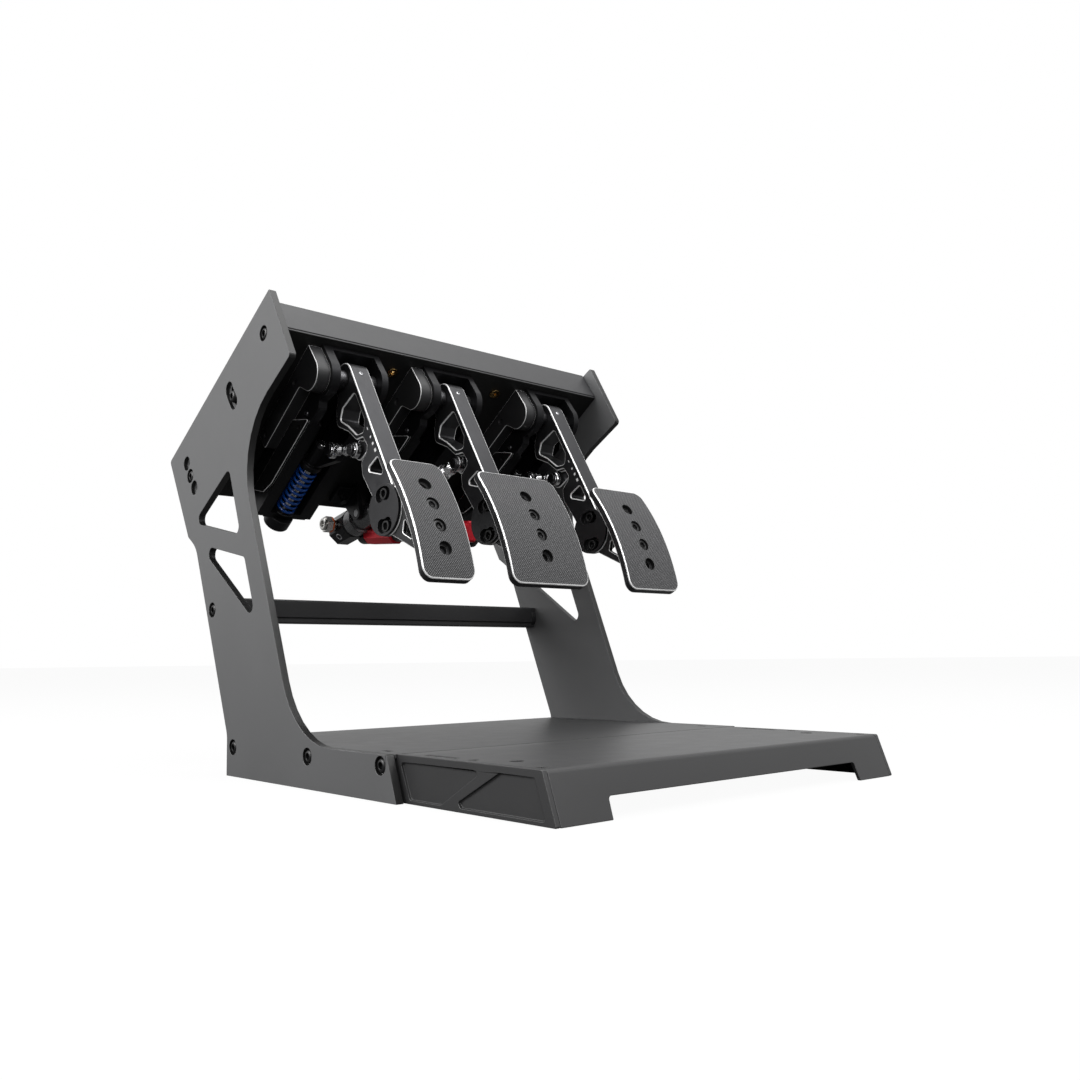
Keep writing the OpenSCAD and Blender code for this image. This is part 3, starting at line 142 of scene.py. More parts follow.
# Finishes
def new_finish(name, colour, metallic, roughness, specular=0.5):
    made = bpy.data.materials.new(name)
    made.use_nodes = True
    made.diffuse_color = (*colour, 1)
    shader = made.node_tree.nodes["Principled BSDF"]
    shader.inputs["Base Color"].default_value = (*colour, 1)
    shader.inputs["Metallic"].default_value = metallic
    shader.inputs["Roughness"].default_value = roughness
    shader.inputs["Specular IOR Level"].default_value = specular
    return made


def noise(finish, scale, detail=3, stretch=(1, 1, 1)):
    tree = finish.node_tree
    where = tree.nodes.new("ShaderNodeTexCoord")
    mapping = tree.nodes.new("ShaderNodeMapping")
    mapping.inputs["Scale"].default_value = stretch
    texture = tree.nodes.new("ShaderNodeTexNoise")
    texture.inputs["Scale"].default_value = scale
    texture.inputs["Detail"].default_value = detail
    tree.links.new(where.outputs["Object"], mapping.inputs["Vector"])
    tree.links.new(mapping.outputs["Vector"], texture.inputs["Vector"])
    return texture.outputs["Fac"]


# Noise keeps near its middle, so the range 0.3 to 0.7 is spread over low to high
def spread(finish, value, low, high):
    ranged = finish.node_tree.nodes.new("ShaderNodeMapRange")
    ranged.inputs["From Min"].default_value = 0.3
    ranged.inputs["From Max"].default_value = 0.7
    ranged.inputs["To Min"].default_value = low
    ranged.inputs["To Max"].default_value = high
    finish.node_tree.links.new(value, ranged.inputs["Value"])
    return ranged.outputs["Result"]


def colour_mix(finish, value, first, second):
    mix = finish.node_tree.nodes.new("ShaderNodeMix")
    mix.data_type = "RGBA"
    mix.inputs["A"].default_value = (*first, 1)
    mix.inputs["B"].default_value = (*second, 1)
    finish.node_tree.links.new(value, mix.inputs["Factor"])
    shader = finish.node_tree.nodes["Principled BSDF"]
    finish.node_tree.links.new(mix.outputs["Result"], shader.inputs["Base Color"])


def raise_surface(finish, height, strength, distance):
    bump = finish.node_tree.nodes.new("ShaderNodeBump")
    bump.inputs["Strength"].default_value = strength
    bump.inputs["Distance"].default_value = distance
    finish.node_tree.links.new(height, bump.inputs["Height"])
    shader = finish.node_tree.nodes["Principled BSDF"]
    finish.node_tree.links.new(bump.outputs["Normal"], shader.inputs["Normal"])


def vary_roughness(finish, value, low, high):
    shader = finish.node_tree.nodes["Principled BSDF"]
    finish.node_tree.links.new(spread(finish, value, low, high), shader.inputs["Roughness"])


def shade(colour, amount):
    return tuple(c * amount for c in colour)


# A baked powder coat with its fine orange-peel grain
def powder_coat(name, colour, roughness, grain, depth=0.00006, specular=0.5):
    finish = new_finish(name, colour, 0.0, roughness, specular)
    cloud = noise(finish, 14, 2)
    colour_mix(finish, spread(finish, cloud, 0, 1), shade(colour, 0.97), shade(colour, 1.03))
    vary_roughness(finish, noise(finish, 60, 4), roughness - 0.015, roughness + 0.015)
    raise_surface(finish, noise(finish, grain, 2), 0.35, depth)
    return finish


# Anodised aluminium; stretch draws its fine lines out along an axis
def anodised(name, colour, roughness, stretch=(1, 1, 1), metallic=0.75):
    finish = new_finish(name, colour, metallic, roughness)
    colour_mix(finish, spread(finish, noise(finish, 40, 3), 0, 1), shade(colour, 0.9), shade(colour, 1.1))
    lines = noise(finish, 900, 2, stretch)
    vary_roughness(finish, lines, roughness - 0.06, roughness + 0.06)
    raise_surface(finish, lines, 0.2, 0.00003)
    return finish


# Moulded, painted or blackened: no metal shows
def moulded(name, colour, roughness, grain=1400):
    finish = new_finish(name, colour, 0.0, roughness, 0.45)
    colour_mix(finish, spread(finish, noise(finish, 25, 3), 0, 1), shade(colour, 0.9), shade(colour, 1.12))
    vary_roughness(finish, noise(finish, 120, 3), roughness - 0.06, roughness + 0.06)
    raise_surface(finish, noise(finish, grain, 3), 0.3, 0.00005)
    return finish


def bare_metal(name, colour, roughness):
    finish = new_finish(name, colour, 1.0, roughness)
    lines = noise(finish, 1500, 3)
    colour_mix(finish, spread(finish, noise(finish, 90, 3), 0, 1), shade(colour, 0.88), colour)
    vary_roughness(finish, lines, roughness - 0.07, roughness + 0.09)
    raise_surface(finish, lines, 0.15, 0.00002)
    return finish


# Two crossed sets of ridges, laid in the plane of a face that leans back by tilt
def knurled(name, colour, tilt, pitch):
    finish = new_finish(name, colour, 0.35, 0.42)
    tree = finish.node_tree
    where = tree.nodes.new("ShaderNodeTexCoord")
    ridges = []
    for lean in (-42, 42):
        mapping = tree.nodes.new("ShaderNodeMapping")
        mapping.inputs["Rotation"].default_value = (math.radians(tilt), math.radians(lean), 0)
        bands = tree.nodes.new("ShaderNodeTexWave")
        bands.inputs["Scale"].default_value = 2 * math.pi / (20 * pitch)
        tree.links.new(where.outputs["Object"], mapping.inputs["Vector"])
        tree.links.new(mapping.outputs["Vector"], bands.inputs["Vector"])
        ridges.append(bands.outputs["Fac"])
    both = tree.nodes.new("ShaderNodeMath")
    both.operation = "MULTIPLY"
    tree.links.new(ridges[0], both.inputs[0])
    tree.links.new(ridges[1], both.inputs[1])
    # The ridges' tops are painted lighter and the grooves darker, a painted highlight and shade on the knurl
    colour_mix(finish, both.outputs["Value"], shade(colour, 0.3), shade(colour, 2.9))
    raise_surface(finish, both.outputs["Value"], 1.0, 0.0006)
    return finish


PLATE_GREY = powder_coat("side_plate_satin_grey", (0.115, 0.116, 0.118), 0.4, 1900)
FLOOR_BLACK = powder_coat("floor_textured_black", (0.027, 0.027, 0.028), 0.4, 1500, 0.00007, 0.6)
DECK_GREY = powder_coat("deck_satin_grey", (0.028, 0.028, 0.03), 0.42, 1900)
# Near black, laid on plate edges and on the walls of holes as painted shade
PAINTED_SHADE_BLACK = powder_coat("painted_shade_black", (0.01, 0.01, 0.01), 0.36, 1900)
# Darker than the deck's top, laid on its underside as painted shade
DECK_UNDERSIDE_SHADE = powder_coat("deck_underside_painted_shade", (0.008, 0.008, 0.008), 0.5, 1900, specular=0.3)
BAR_BLACK = powder_coat("bar_satin_black", (0.016, 0.016, 0.017), 0.4, 1900)
BODY_BLACK = anodised("module_black_anodised", (0.016, 0.016, 0.0175), 0.38)
ARM_BLACK = anodised("arm_black_anodised", (0.05, 0.05, 0.053), 0.38, (1, 0.15, 0.15))
BRACKET_BLACK = anodised("bracket_black_anodised", (0.04, 0.04, 0.042), 0.4)
HOUSING_BLACK = moulded("sensor_housing_satin_black", (0.018, 0.018, 0.019), 0.42)
COVER_BLACK = anodised("side_cover_black", (0.02, 0.02, 0.021), 0.45)
# Near white, laid on bevelled outlines as a painted highlight
PAINTED_EDGE_HIGHLIGHT = anodised("painted_edge_highlight", (0.95, 0.95, 0.95), 0.42, metallic=0.35)
FITTING_STEEL = bare_metal("fitting_steel", (0.6, 0.59, 0.57), 0.24)
STEEL = bare_metal("polished_steel", (0.92, 0.92, 0.93), 0.2)
DARK_STEEL = bare_metal("dark_steel", (0.12, 0.12, 0.125), 0.3)
ZINC = bare_metal("zinc_plated_steel", (0.6, 0.6, 0.62), 0.32)
BRASS = bare_metal("machined_brass", (0.36, 0.24, 0.1), 0.22)
SCREW_BLACK = moulded("black_oxide_screw", (0.006, 0.006, 0.0065), 0.36, 2500)
SPRING_BLUE = moulded("spring_blue_coat", (0.003, 0.05, 0.25), 0.22, 1800)
CYLINDER_GREY = anodised("cylinder_dark_anodised", (0.15, 0.15, 0.155), 0.27)
BLOCK_BLACK = anodised("block_black_anodised", (0.02, 0.02, 0.022), 0.3)
BARREL_RED = anodised("barrel_red_anodised", (0.75, 0.012, 0.03), 0.34, metallic=0.25)
WASHER_ORANGE = moulded("sealing_washer_orange", (0.55, 0.1, 0.015), 0.4)
MARK_WHITE = moulded("index_mark_white", (0.85, 0.85, 0.85), 0.5)
FACE_KNURL_AND_SHADE = knurled("face_diamond_knurl_painted_shade", (0.09, 0.09, 0.093), 27, 0.0015)
FACE_PLAIN = anodised("face_side_black", (0.05, 0.05, 0.052), 0.38)


# Making pieces
def edges_of(verts):
    return list(dict.fromkeys(edge for v in verts for edge in v.link_edges))


# Marks all that a mesh holds so far, so that a later step moves only what is new
def settle(work):
    for v in work.verts:
        v.tag = True


def clean_normals(work):
    bmesh.ops.remove_doubles(work, verts=work.verts, dist=0.000002)
    bmesh.ops.recalc_face_normals(work, faces=work.faces)


# Smooths the curved faces; corners and the borders between two finishes stay sharp
def mark_edges(work):
    limit = math.radians(32)
    for face in work.faces:
        face.smooth = True
    for edge in work.edges:
        finishes = {face.material_index for face in edge.link_faces}
        edge.smooth = edge.calc_face_angle(0) < limit and len(finishes) < 2


def finish_piece(name, work, finishes, body):
    mark_edges(work)
    mesh = bpy.data.meshes.new(name)
    work.to_mesh(mesh)
    work.free()
    for finish in finishes:
        mesh.materials.append(finish)
    piece = bpy.data.objects.new(name, mesh)
    bpy.context.scene.collection.objects.link(piece)
    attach(piece, body)
    return piece


# A finished piece that stands for a CAD node, on the node's body and slot
def stand_in(name, work, finishes, node):
    piece = finish_piece(name, work, finishes, body_of_node[node])
    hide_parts(node)
    return piece


# Edges of the loops that run round a whole circle, such as the rims of bores
def circle_rims(edges):
    left = set(edges)
    rims = set()
    while left:
        first = left.pop()
        loop = {first}
        reach = [first]
        while reach:
            for v in reach.pop().verts:
                for other in v.link_edges:
                    if other in left:
                        left.discard(other)
                        loop.add(other)
                        reach.append(other)
        points = list({v for e in loop for v in e.verts})
        low = Vector([min(v.co[k] for v in points) for k in range(3)])
        high = Vector([max(v.co[k] for v in points) for k in range(3)])
        away = [(v.co - (low + high) / 2).length for v in points]
        if max(away) - min(away) < 0.08 * max(away):
            rims |= loop
    return rims


# A CAD node's own solid, merged into clean faces and given broken edges;
# rim_width bevels its outline apart from the bores' rims and paints that bevel near white, a painted
# highlight
def edged(node, finish, width, segments=2, rim_width=0, clamp=False, rim_side=None):
    work = bmesh.new()
    work.from_mesh(nodes[node].data)
    bmesh.ops.remove_doubles(work, verts=work.verts, dist=0.000003)
    bmesh.ops.dissolve_limit(work, angle_limit=math.radians(0.4), verts=work.verts, edges=work.edges)
    for face in work.faces:
        face.material_index = 0
    if rim_width:
        sharp = [e for e in work.edges if e.calc_face_angle(0) > math.radians(50)]
        rims = circle_rims(sharp)
        outline = [e for e in sharp if e not in rims and (rim_side is None or rim_side(e))]
        bmesh.ops.bevel(work, geom=outline, offset=rim_width, offset_type="OFFSET", segments=2, profile=0.5,
            affect="EDGES", clamp_overlap=False, material=1)
    finishes = [finish, PAINTED_EDGE_HIGHLIGHT] if rim_width else [finish]
    piece = stand_in(node + "_finished", work, finishes, node)
    bevel = piece.modifiers.new("broken_edges", "BEVEL")
    bevel.width = width
    bevel.segments = segments
    bevel.limit_method = "ANGLE"
    bevel.angle_limit = math.radians(50 if rim_width else 30)
    bevel.use_clamp_overlap = clamp
    bevel.harden_normals = True
    return piece


# Is this edge on one of the two flat sides of a piece that is cut through along X?
def on_flat_side(edge):
    along = edge.verts[1].co - edge.verts[0].co
    return abs(along.x) < 0.3 * along.length


# The same, away from the bolt slots inside a bracket's disc
def on_bracket_outline(x):
    centre = arm_place(x) @ DISC_CENTRE

    def outside(edge):
        middle = (edge.verts[0].co + edge.verts[1].co) / 2 - centre
        return on_flat_side(edge) and math.hypot(middle.y, middle.z) > DISC_SLOT_REACH

    return outside


# Is a polygon on the curved front of a pedal face, and not on its chamfer, sides, back or bores?
def on_face_front(x):
    to_face = face_place(x).inverted()

    def chosen(polygon):
        middle = to_face @ polygon.center
        outlook = to_face.to_3x3() @ polygon.normal
        near_front = math.hypot(middle.y - FACE_CURVE, middle.z) > FACE_CURVE - 0.0006
        return polygon.material_index == 0 and near_front and outlook.y < -0.8

    return chosen


# Is a polygon on the wall of one of the four screw holes of a pedal face?
def in_face_hole(x):
    to_face = face_place(x).inverted()

    def chosen(polygon):
        middle = to_face @ polygon.center
        outlook = to_face.to_3x3() @ polygon.normal
        in_row = abs(middle.x) < HOLE_ROW_HALF_WIDTH and abs(middle.z) < HOLE_ROW_HALF_LENGTH
        return in_row and abs(outlook.y) < 0.85

    return chosen


# Gives one more material to the polygons for which chosen(polygon) is true
def dress_polygons(piece, finish, chosen):
    piece.data.materials.append(finish)
    for polygon in piece.data.polygons:
        if chosen(polygon):
            polygon.material_index = len(piece.data.materials) - 1


# Turns a profile of (radius, height) points about Z and puts it at its place
def turned(work, profile, steps, place):
    verts = [bmesh.ops.create_vert(work, co=(r, 0, z))["vert"][0] for r, z in profile]
    edges = [work.edges.new(pair) for pair in zip(verts, verts[1:])]
    bmesh.ops.spin(work, geom=verts + edges, cent=(0, 0, 0), axis=(0, 0, 1),
        angle=2 * math.pi, steps=steps, use_merge=True)
    first = set(verts)
    fresh = [v for v in work.verts if v in first or not v.tag]
    bmesh.ops.transform(work, matrix=place, verts=fresh)
    settle(work)


# A small block with its edges broken
def block(work, place, size, broken):
    made = bmesh.ops.create_cube(work, size=1, matrix=place @ Matrix.Diagonal((*size, 1)))
    bmesh.ops.bevel(work, geom=edges_of(made["verts"]), offset=broken,
        segments=1, profile=0.5, affect="EDGES", material=-1)


# A hexagon nut or head that rises from its place, with both caps dished in to the bore
def hexagon(work, radius, height, bore, place):
    made = bmesh.ops.create_cone(work, cap_ends=True, segments=6, radius1=radius, radius2=radius,
        depth=height, matrix=place @ move(0, 0, height / 2))
    caps = list(dict.fromkeys(f for v in made["verts"] for f in v.link_faces if len(f.verts) == 6))
    bmesh.ops.inset_region(work, faces=caps, thickness=max(radius - bore, radius * 0.3), depth=-height * 0.04)
    settle(work)


# A socket screw: its head rises from z 0 and its shank goes down; the hexagon is sunk in the head
def socket_screw(work, place, head_r, head_h, socket_r, shank_r, shank_l, domed):
    depth = head_h * 0.55
    profile = [(0, -shank_l), (shank_r * 0.8, -shank_l), (shank_r, -shank_l + shank_r * 0.2), (shank_r, 0),
        (head_r * 0.97, 0), (head_r, head_h * 0.06)]
    if domed:
        flat_r = head_r * 0.5
        for k in range(1, 6):
            turn = k / 5 * math.pi / 2
            profile.append((flat_r + (head_r - flat_r) * math.cos(turn),
                head_h * 0.1 + head_h * 0.9 * math.sin(turn)))
    else:
        profile += [(head_r, head_h * 0.92), (head_r * 0.93, head_h)]
    profile += [(socket_r * 1.22, head_h), (socket_r * 1.08, head_h - socket_r * 0.12),
        (socket_r * 1.08, head_h - depth), (0, head_h - depth - socket_r * 0.25)]
    turned(work, profile, 30, place)
    bmesh.ops.create_cone(work, cap_ends=False, segments=6, radius1=socket_r * 0.93, radius2=socket_r * 0.93,
        depth=depth * 0.9, matrix=place @ move(0, 0, head_h - depth * 0.52))
    settle(work)


def screw_group(name, node, places, head_r, head_h, socket_r, shank_r, shank_l, domed=False):
    work = bmesh.new()
    for place in places:
        socket_screw(work, place, head_r, head_h, socket_r, shank_r, shank_l, domed)
    clean_normals(work)
    stand_in(name, work, [SCREW_BLACK], node)


# One small domed screw of a module or an arm
def small_screw(name, place, head_r, head_h, socket_r, shank_r, shank_l, finish, body):
    work = bmesh.new()
    socket_screw(work, place, head_r, head_h, socket_r, shank_r, shank_l, True)
    clean_normals(work)
    finish_piece(name, work, [finish], body)


# Stand
for node in ("left_side_plate", "right_side_plate"):
    plate = edged(node, PLATE_GREY, 0.0004)
    # The plates' edge faces are painted near black, as painted shade
    dress_polygons(plate, PAINTED_SHADE_BLACK, lambda polygon: abs(polygon.normal.x) < 0.5)


# Is a polygon on the wall of one of the holes or slots in a floor plate's top?
def in_floor_hole(top):
    def chosen(polygon):
        upright = abs(polygon.normal.z) < 0.3
        return upright and polygon.area < 0.00008 and polygon.center.z > top - 0.004

    return chosen


for node in ("rear_floor_plate", "front_floor_plate"):
    plate = edged(node, FLOOR_BLACK, 0.0006)
    plate_top = max(v.co.z for v in plate.data.vertices)
    # The walls of the floor plates' holes and slots are painted near black, as painted shade
    dress_polygons(plate, PAINTED_SHADE_BLACK, in_floor_hole(plate_top))
for node in ("left_side_rail", "right_side_rail"):
    edged(node, FLOOR_BLACK, 0.0005)
edged("cross_bar", BAR_BLACK, 0.0004)
deck = edged("pedal_deck", DECK_GREY, 0.0005)
deck_up = deck_place(0).to_3x3() @ Vector((0, 0, 1))
# The deck's downward faces are painted darker than its top, as painted shade
dress_polygons(deck, DECK_UNDERSIDE_SHADE, lambda polygon: polygon.normal.dot(deck_up) < -0.7)
edged("side_nuts", ZINC, 0.0004)
edged("deck_inserts", BRASS, 0.0003)

# Modules and pedals
for pedal, x in MODULES.items():
    edged(pedal + "_body", BODY_BLACK, 0.0005, clamp=True)
    # Housings, covers, arms, brackets and faces get a near-white painted highlight on their bevelled outlines
    edged(pedal + "_sensor_housing", HOUSING_BLACK, 0.0003, 1, rim_width=0.0004)
    edged(pedal + "_side_cover", COVER_BLACK, 0.0002, 1, rim_width=0.0004)
    edged(pedal + "_pivot_pin", DARK_STEEL, 0.0005)
    edged(pedal + "_arm", ARM_BLACK, 0.0003, 1, rim_width=0.0009, rim_side=on_flat_side)
    edged(pedal + "_face_bracket", BRACKET_BLACK, 0.0003, 1, rim_width=0.0006,
        rim_side=on_bracket_outline(x))
    pedal_face = edged(pedal + "_face", FACE_PLAIN, 0.0003, 1, rim_width=0.0009)
    # The knurled front carries painted highlight and shade on its ridges
    dress_polygons(pedal_face, FACE_KNURL_AND_SHADE, on_face_front(x))
    # The walls of the face's screw holes are painted near black, as painted shade
    dress_polygons(pedal_face, PAINTED_SHADE_BLACK, in_face_hole(x))
    edged(pedal + "_eye_bolt", DARK_STEEL, 0.0003)
for pedal in SPRUNG:
    edged(pedal + "_plunger", BODY_BLACK, 0.0004)
    edged(pedal + "_guide_rod", STEEL, 0.0004)
    edged(pedal + "_spring_cap", BODY_BLACK, 0.0006)
edged("brake_pushrod", STEEL, 0.0003)
hanger = edged("brake_cylinder_hanger", BODY_BLACK, 0.0004)

# The hanger's rounded ends are drawn in to a slim ring round the trunnion
RING_REACH = 0.0066
RING_BORE_REACH = 0.005
HANGER_END_REACH = 0.0095
brake_deck = deck_place(MODULES["brake"])
to_trunnion = (brake_deck @ move(*TRUNNION)).inverted()
for vertex in hanger.data.vertices:
    local = to_trunnion @ vertex.co
    away = Vector((0, local.y, local.z))
    if RING_BORE_REACH < away.length < HANGER_END_REACH:
        away.length = RING_REACH
        vertex.co = to_trunnion.inverted() @ Vector((local.x, away.y, away.z))


# Springs: nine curls of round wire with closed ends
def return_spring(pedal):
    wire_r = 0.0013
    coil_r = 0.0082
    turns = 9
    steps = turns * 36
    rise = (SPRING_LENGTH - 2.4 * wire_r) / steps
    work = bmesh.new()
    wire = bmesh.ops.create_circle(work, segments=12, radius=wire_r, matrix=move(coil_r, wire_r * 1.2, 0))
    bmesh.ops.spin(work, geom=wire["verts"] + edges_of(wire["verts"]), cent=(0, 0, 0), axis=(0, -1, 0),
        dvec=(0, rise, 0), angle=2 * math.pi * turns, steps=steps)
    bmesh.ops.holes_fill(work, edges=[e for e in work.edges if e.is_boundary], sides=0)
    clean_normals(work)
    place = deck_place(MODULES[pedal]) @ move(*SPRING_START)
    bmesh.ops.transform(work, matrix=place, verts=work.verts)
    piece = stand_in(pedal + "_return_spring", work, [SPRING_BLUE], pedal + "_spring")
    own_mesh(piece)


# The ring of a rod end with broken edges, and the bored ball inside it
def rod_end(metal, y, ring_r):
    across = move(0, y, 0) @ ALONG_X
    half = 0.0024
    corner_r = ring_r - 0.0006
    mouth_r = ring_r - 0.0022
    seat_r = ring_r - 0.0027
    turned(metal, [(mouth_r, -half), (corner_r, -half), (ring_r, -0.0017), (ring_r, 0.0017), (corner_r, half),
        (mouth_r, half), (seat_r, 0.0018), (seat_r, -0.0018), (mouth_r, -half)], 40, across)
    ball_r = ring_r - 0.0026
    bore_r = 0.0027
    reach = 0.0029
    ball = []
    for k in range(13):
        z = reach * (k / 6 - 1)
        ball.append((math.sqrt(max(ball_r ** 2 - z * z, bore_r * bore_r * 1.02)), z))
    turned(metal, [(bore_r, -reach)] + ball + [(bore_r, reach), (bore_r, -reach)], 32, across)


# Links: two rod ends, the threaded rod between them, their necks and two lock nuts
def rod_link(pedal):
    metal = bmesh.new()
    rod_end(metal, 0, 0.0066)
    rod_end(metal, LINK_LENGTH, 0.0072)
    rod_start = 0.0095
    rod_stop = LINK_LENGTH - rod_start
    thread = []
    y = rod_start
    while y < rod_stop:
        thread += [(0.003, y), (0.0026, y + 0.0005)]
        y += 0.001
    turned(metal, [(0, rod_start)] + thread + [(0, rod_stop)], 24, ALONG_Y)
    turned(metal, [(0.0031, 0.0055), (0.0045, 0.0075), (0.0045, 0.0098), (0.0028, 0.0102)], 24, ALONG_Y)
    turned(metal, [(0.0028, LINK_LENGTH - 0.0102), (0.0047, LINK_LENGTH - 0.0098),
        (0.0047, LINK_LENGTH - 0.0078), (0.0035, LINK_LENGTH - 0.006)], 24, ALONG_Y)
    for nut_y in (0.0112, LINK_LENGTH - 0.0145):
        hexagon(metal, 0.0048, 0.0036, 0.0034, ALONG_Y @ move(0, 0, nut_y))
    clean_normals(metal)
    bmesh.ops.transform(metal, matrix=link_place(MODULES[pedal]), verts=metal.verts)
    stand_in(pedal + "_rod_ends", metal, [STEEL], pedal + "_link")


for pedal in SPRUNG:
    return_spring(pedal)
    rod_link(pedal)

# Button heads with their hexagon sockets, on the outside of both side plates
side_places = []
for y, z in SIDE_BOLTS:
    for side in (-1, 1):
        side_places.append(move(side * PLATE_FACE_X, y, z) @ turn_y(90 * side))
screw_group("side_button_screws", "side_bolts", side_places, 0.00525, 0.0033, 0.0023, 0.003, 0.0115, True)

# Two bolts in the slots of each disc, and two screws in the middle holes of each face
for pedal, x in MODULES.items():
    slope = math.radians(DISC_BOLT_SLOPE)
    bolt_places = []
    for side in (-1, 1):
        y = DISC_CENTRE.y + side * DISC_BOLT_REACH * math.cos(slope)
        z = DISC_CENTRE.z + side * DISC_BOLT_REACH * math.sin(slope)
        bolt_places.append(arm_place(x) @ move(DISC_LEFT_X, y, z) @ FACING_LEFT)
    screw_group(pedal + "_bracket_socket_screws", pedal + "_bracket_bolts", bolt_places,
        0.0046, 0.0036, 0.0026, 0.003, 0.019)
    seat_places = [behind_face(x, along, FACE_SEAT_DEPTH) @ FACING_FRONT for along in FACE_SCREWS]
    screw_group(pedal + "_face_socket_screws", pedal + "_face_screws", seat_places,
        0.005, 0.0026, 0.0026, 0.0025, 0.0072)

# Black seat pads behind the two open holes of each face
PAD_DEPTH = 0.0073
PAD_SIZE = (0.0105, 0.0016, 0.013)
for pedal, x in MODULES.items():
    pads = bmesh.new()
    for along in OPEN_FACE_HOLES:
        block(pads, behind_face(x, along, PAD_DEPTH), PAD_SIZE, 0.0003)
    finish_piece(pedal + "_seat_pads", pads, [BRACKET_BLACK], pedal + "_pedal")

# Index marks on the left side of the two sprung arms: distance below the pivot, width and height
MARK_X = -0.00903
MARK_Y = -0.0086
MARK_DEPTH = 0.0001
INDEX_MARKS = ((0.060, 0.0009, 0.0026), (0.0688, 0.0018, 0.0018), (0.0756, 0.0022, 0.0022),
    (0.0824, 0.0024, 0.003))
for pedal in SPRUNG:
    marks = bmesh.new()
    for below, wide, tall in INDEX_MARKS:
        place = arm_place(MODULES[pedal]) @ move(MARK_X, MARK_Y, -below)
        block(marks, place, (MARK_DEPTH, wide, tall), 0.00003)
    finish_piece(pedal + "_index_marks", marks, [MARK_WHITE], pedal + "_pedal")

# A small silver screw near the top of each arm's front strap
for pedal, x in MODULES.items():
    small_screw(pedal + "_strap_screw", arm_place(x) @ move(0, ARM_FRONT, STRAP_SCREW_Z) @ FACING_FRONT,
        0.0021, 0.0012, 0.0009, 0.001, 0.004, ZINC, pedal + "_pedal")

# A dark screw low on the left side of each module body
for pedal, x in MODULES.items():
    small_screw(pedal + "_side_screw", deck_place(x) @ move(*SIDE_SCREW) @ FACING_LEFT,
        0.0026, 0.0014, 0.0011, 0.0012, 0.003, DARK_STEEL, "stand")


# An eight-sided block along Y whose end edges are broken
def collar(work, place, half, start, end, broken):
    reach = half / math.cos(math.radians(22.5))
    rings = []
    for y, radius in ((start, reach - broken), (start + broken, reach), (end - broken, reach),
            (end, reach - broken)):
        ring = bmesh.ops.create_circle(work, cap_ends=y in (start, end), segments=8, radius=radius,
            matrix=place @ move(0, y, 0) @ ALONG_Y @ turn_z(22.5))
        rings.append(edges_of(ring["verts"]))
    for low, high in zip(rings, rings[1:]):
        bmesh.ops.bridge_loops(work, edges=low + high)
    settle(work)


# Brake: the barrel is a black tube with a red eight-sided collar at each end
BARREL_MOUTH = (0.008, 0.1808, -0.0329)
BARREL_ANGLE = 39.5
COLLAR_HALF = 0.0093
BROKEN_EDGE = 0.0016
barrel_place = brake_deck @ move(*BARREL_MOUTH) @ turn_x(BARREL_ANGLE)
barrel = bmesh.new()
collar(barrel, barrel_place, COLLAR_HALF, -0.039, 0.009, BROKEN_EDGE)
collar(barrel, barrel_place, COLLAR_HALF, -0.157, -0.139, BROKEN_EDGE)
for face in barrel.faces:
    face.material_index = 1
turned(barrel, [(0, -0.156), (0.0072, -0.156), (0.0076, -0.1556), (0.0076, 0.0006), (0.0072, 0.001),
    (0, 0.001)], 40, barrel_place @ ALONG_Y)
clean_normals(barrel)
stand_in("brake_barrel_and_collars", barrel, [BLOCK_BLACK, BARREL_RED], "brake_pressure_barrel")

# Brake: the cylinder on its trunnions, open at the front for the pushrod, thick in front of the end block
thrust_place = brake_deck @ move(LINK_X, TRUNNION.y, TRUNNION.z) @ turn_x(THRUST_ANGLE)
BLOCK_START = 0.028
BLOCK_END = 0.057
BLOCK_HALF = 0.0142
BLOCK_MIDDLE = 0.044
cylinder = bmesh.new()
turned(cylinder, [(0, -0.018), (0.0036, -0.018), (0.0036, -0.0537), (0.0039, -0.054), (0.0076, -0.054),
    (0.008, -0.0536), (0.008, -0.0402), (0.0083, -0.04), (0.0106, -0.04), (0.011, -0.0396), (0.011, -0.0182),
    (0.0119, -0.018), (0.0122, -0.0177), (0.0122, -0.0143), (0.0119, -0.014), (0.011, -0.0138),
    (0.011, 0.0158), (0.0134, 0.0162), (0.0139, 0.0168), (0.0139, BLOCK_START), (0, BLOCK_START)],
    48, thrust_place @ ALONG_Y)
for side in (-1, 1):
    turned(cylinder, [(0, 0.009), (0.004, 0.009), (0.004, 0.0159), (0.0036, 0.0163), (0, 0.0163)],
        24, thrust_place @ turn_y(90 * side))
clean_normals(cylinder)
stand_in("brake_master_cylinder", cylinder, [CYLINDER_GREY], "brake_cylinder")

# Brake: eight-sided end block, with the round boss behind the barrel's collar
end_block = bmesh.new()
collar(end_block, thrust_place, BLOCK_HALF, BLOCK_START + 0.0001, BLOCK_END, BROKEN_EDGE)
turned(end_block, [(0, 0.0091), (0.0088, 0.0091), (0.0092, 0.0095), (0.0092, 0.0208), (0.0084, 0.0216),
    (0.005, 0.0216), (0.0045, 0.0206), (0, 0.0206)], 40, barrel_place @ ALONG_Y)
clean_normals(end_block)
stand_in("brake_end_block", end_block, [BLOCK_BLACK], "brake_cylinder_block")

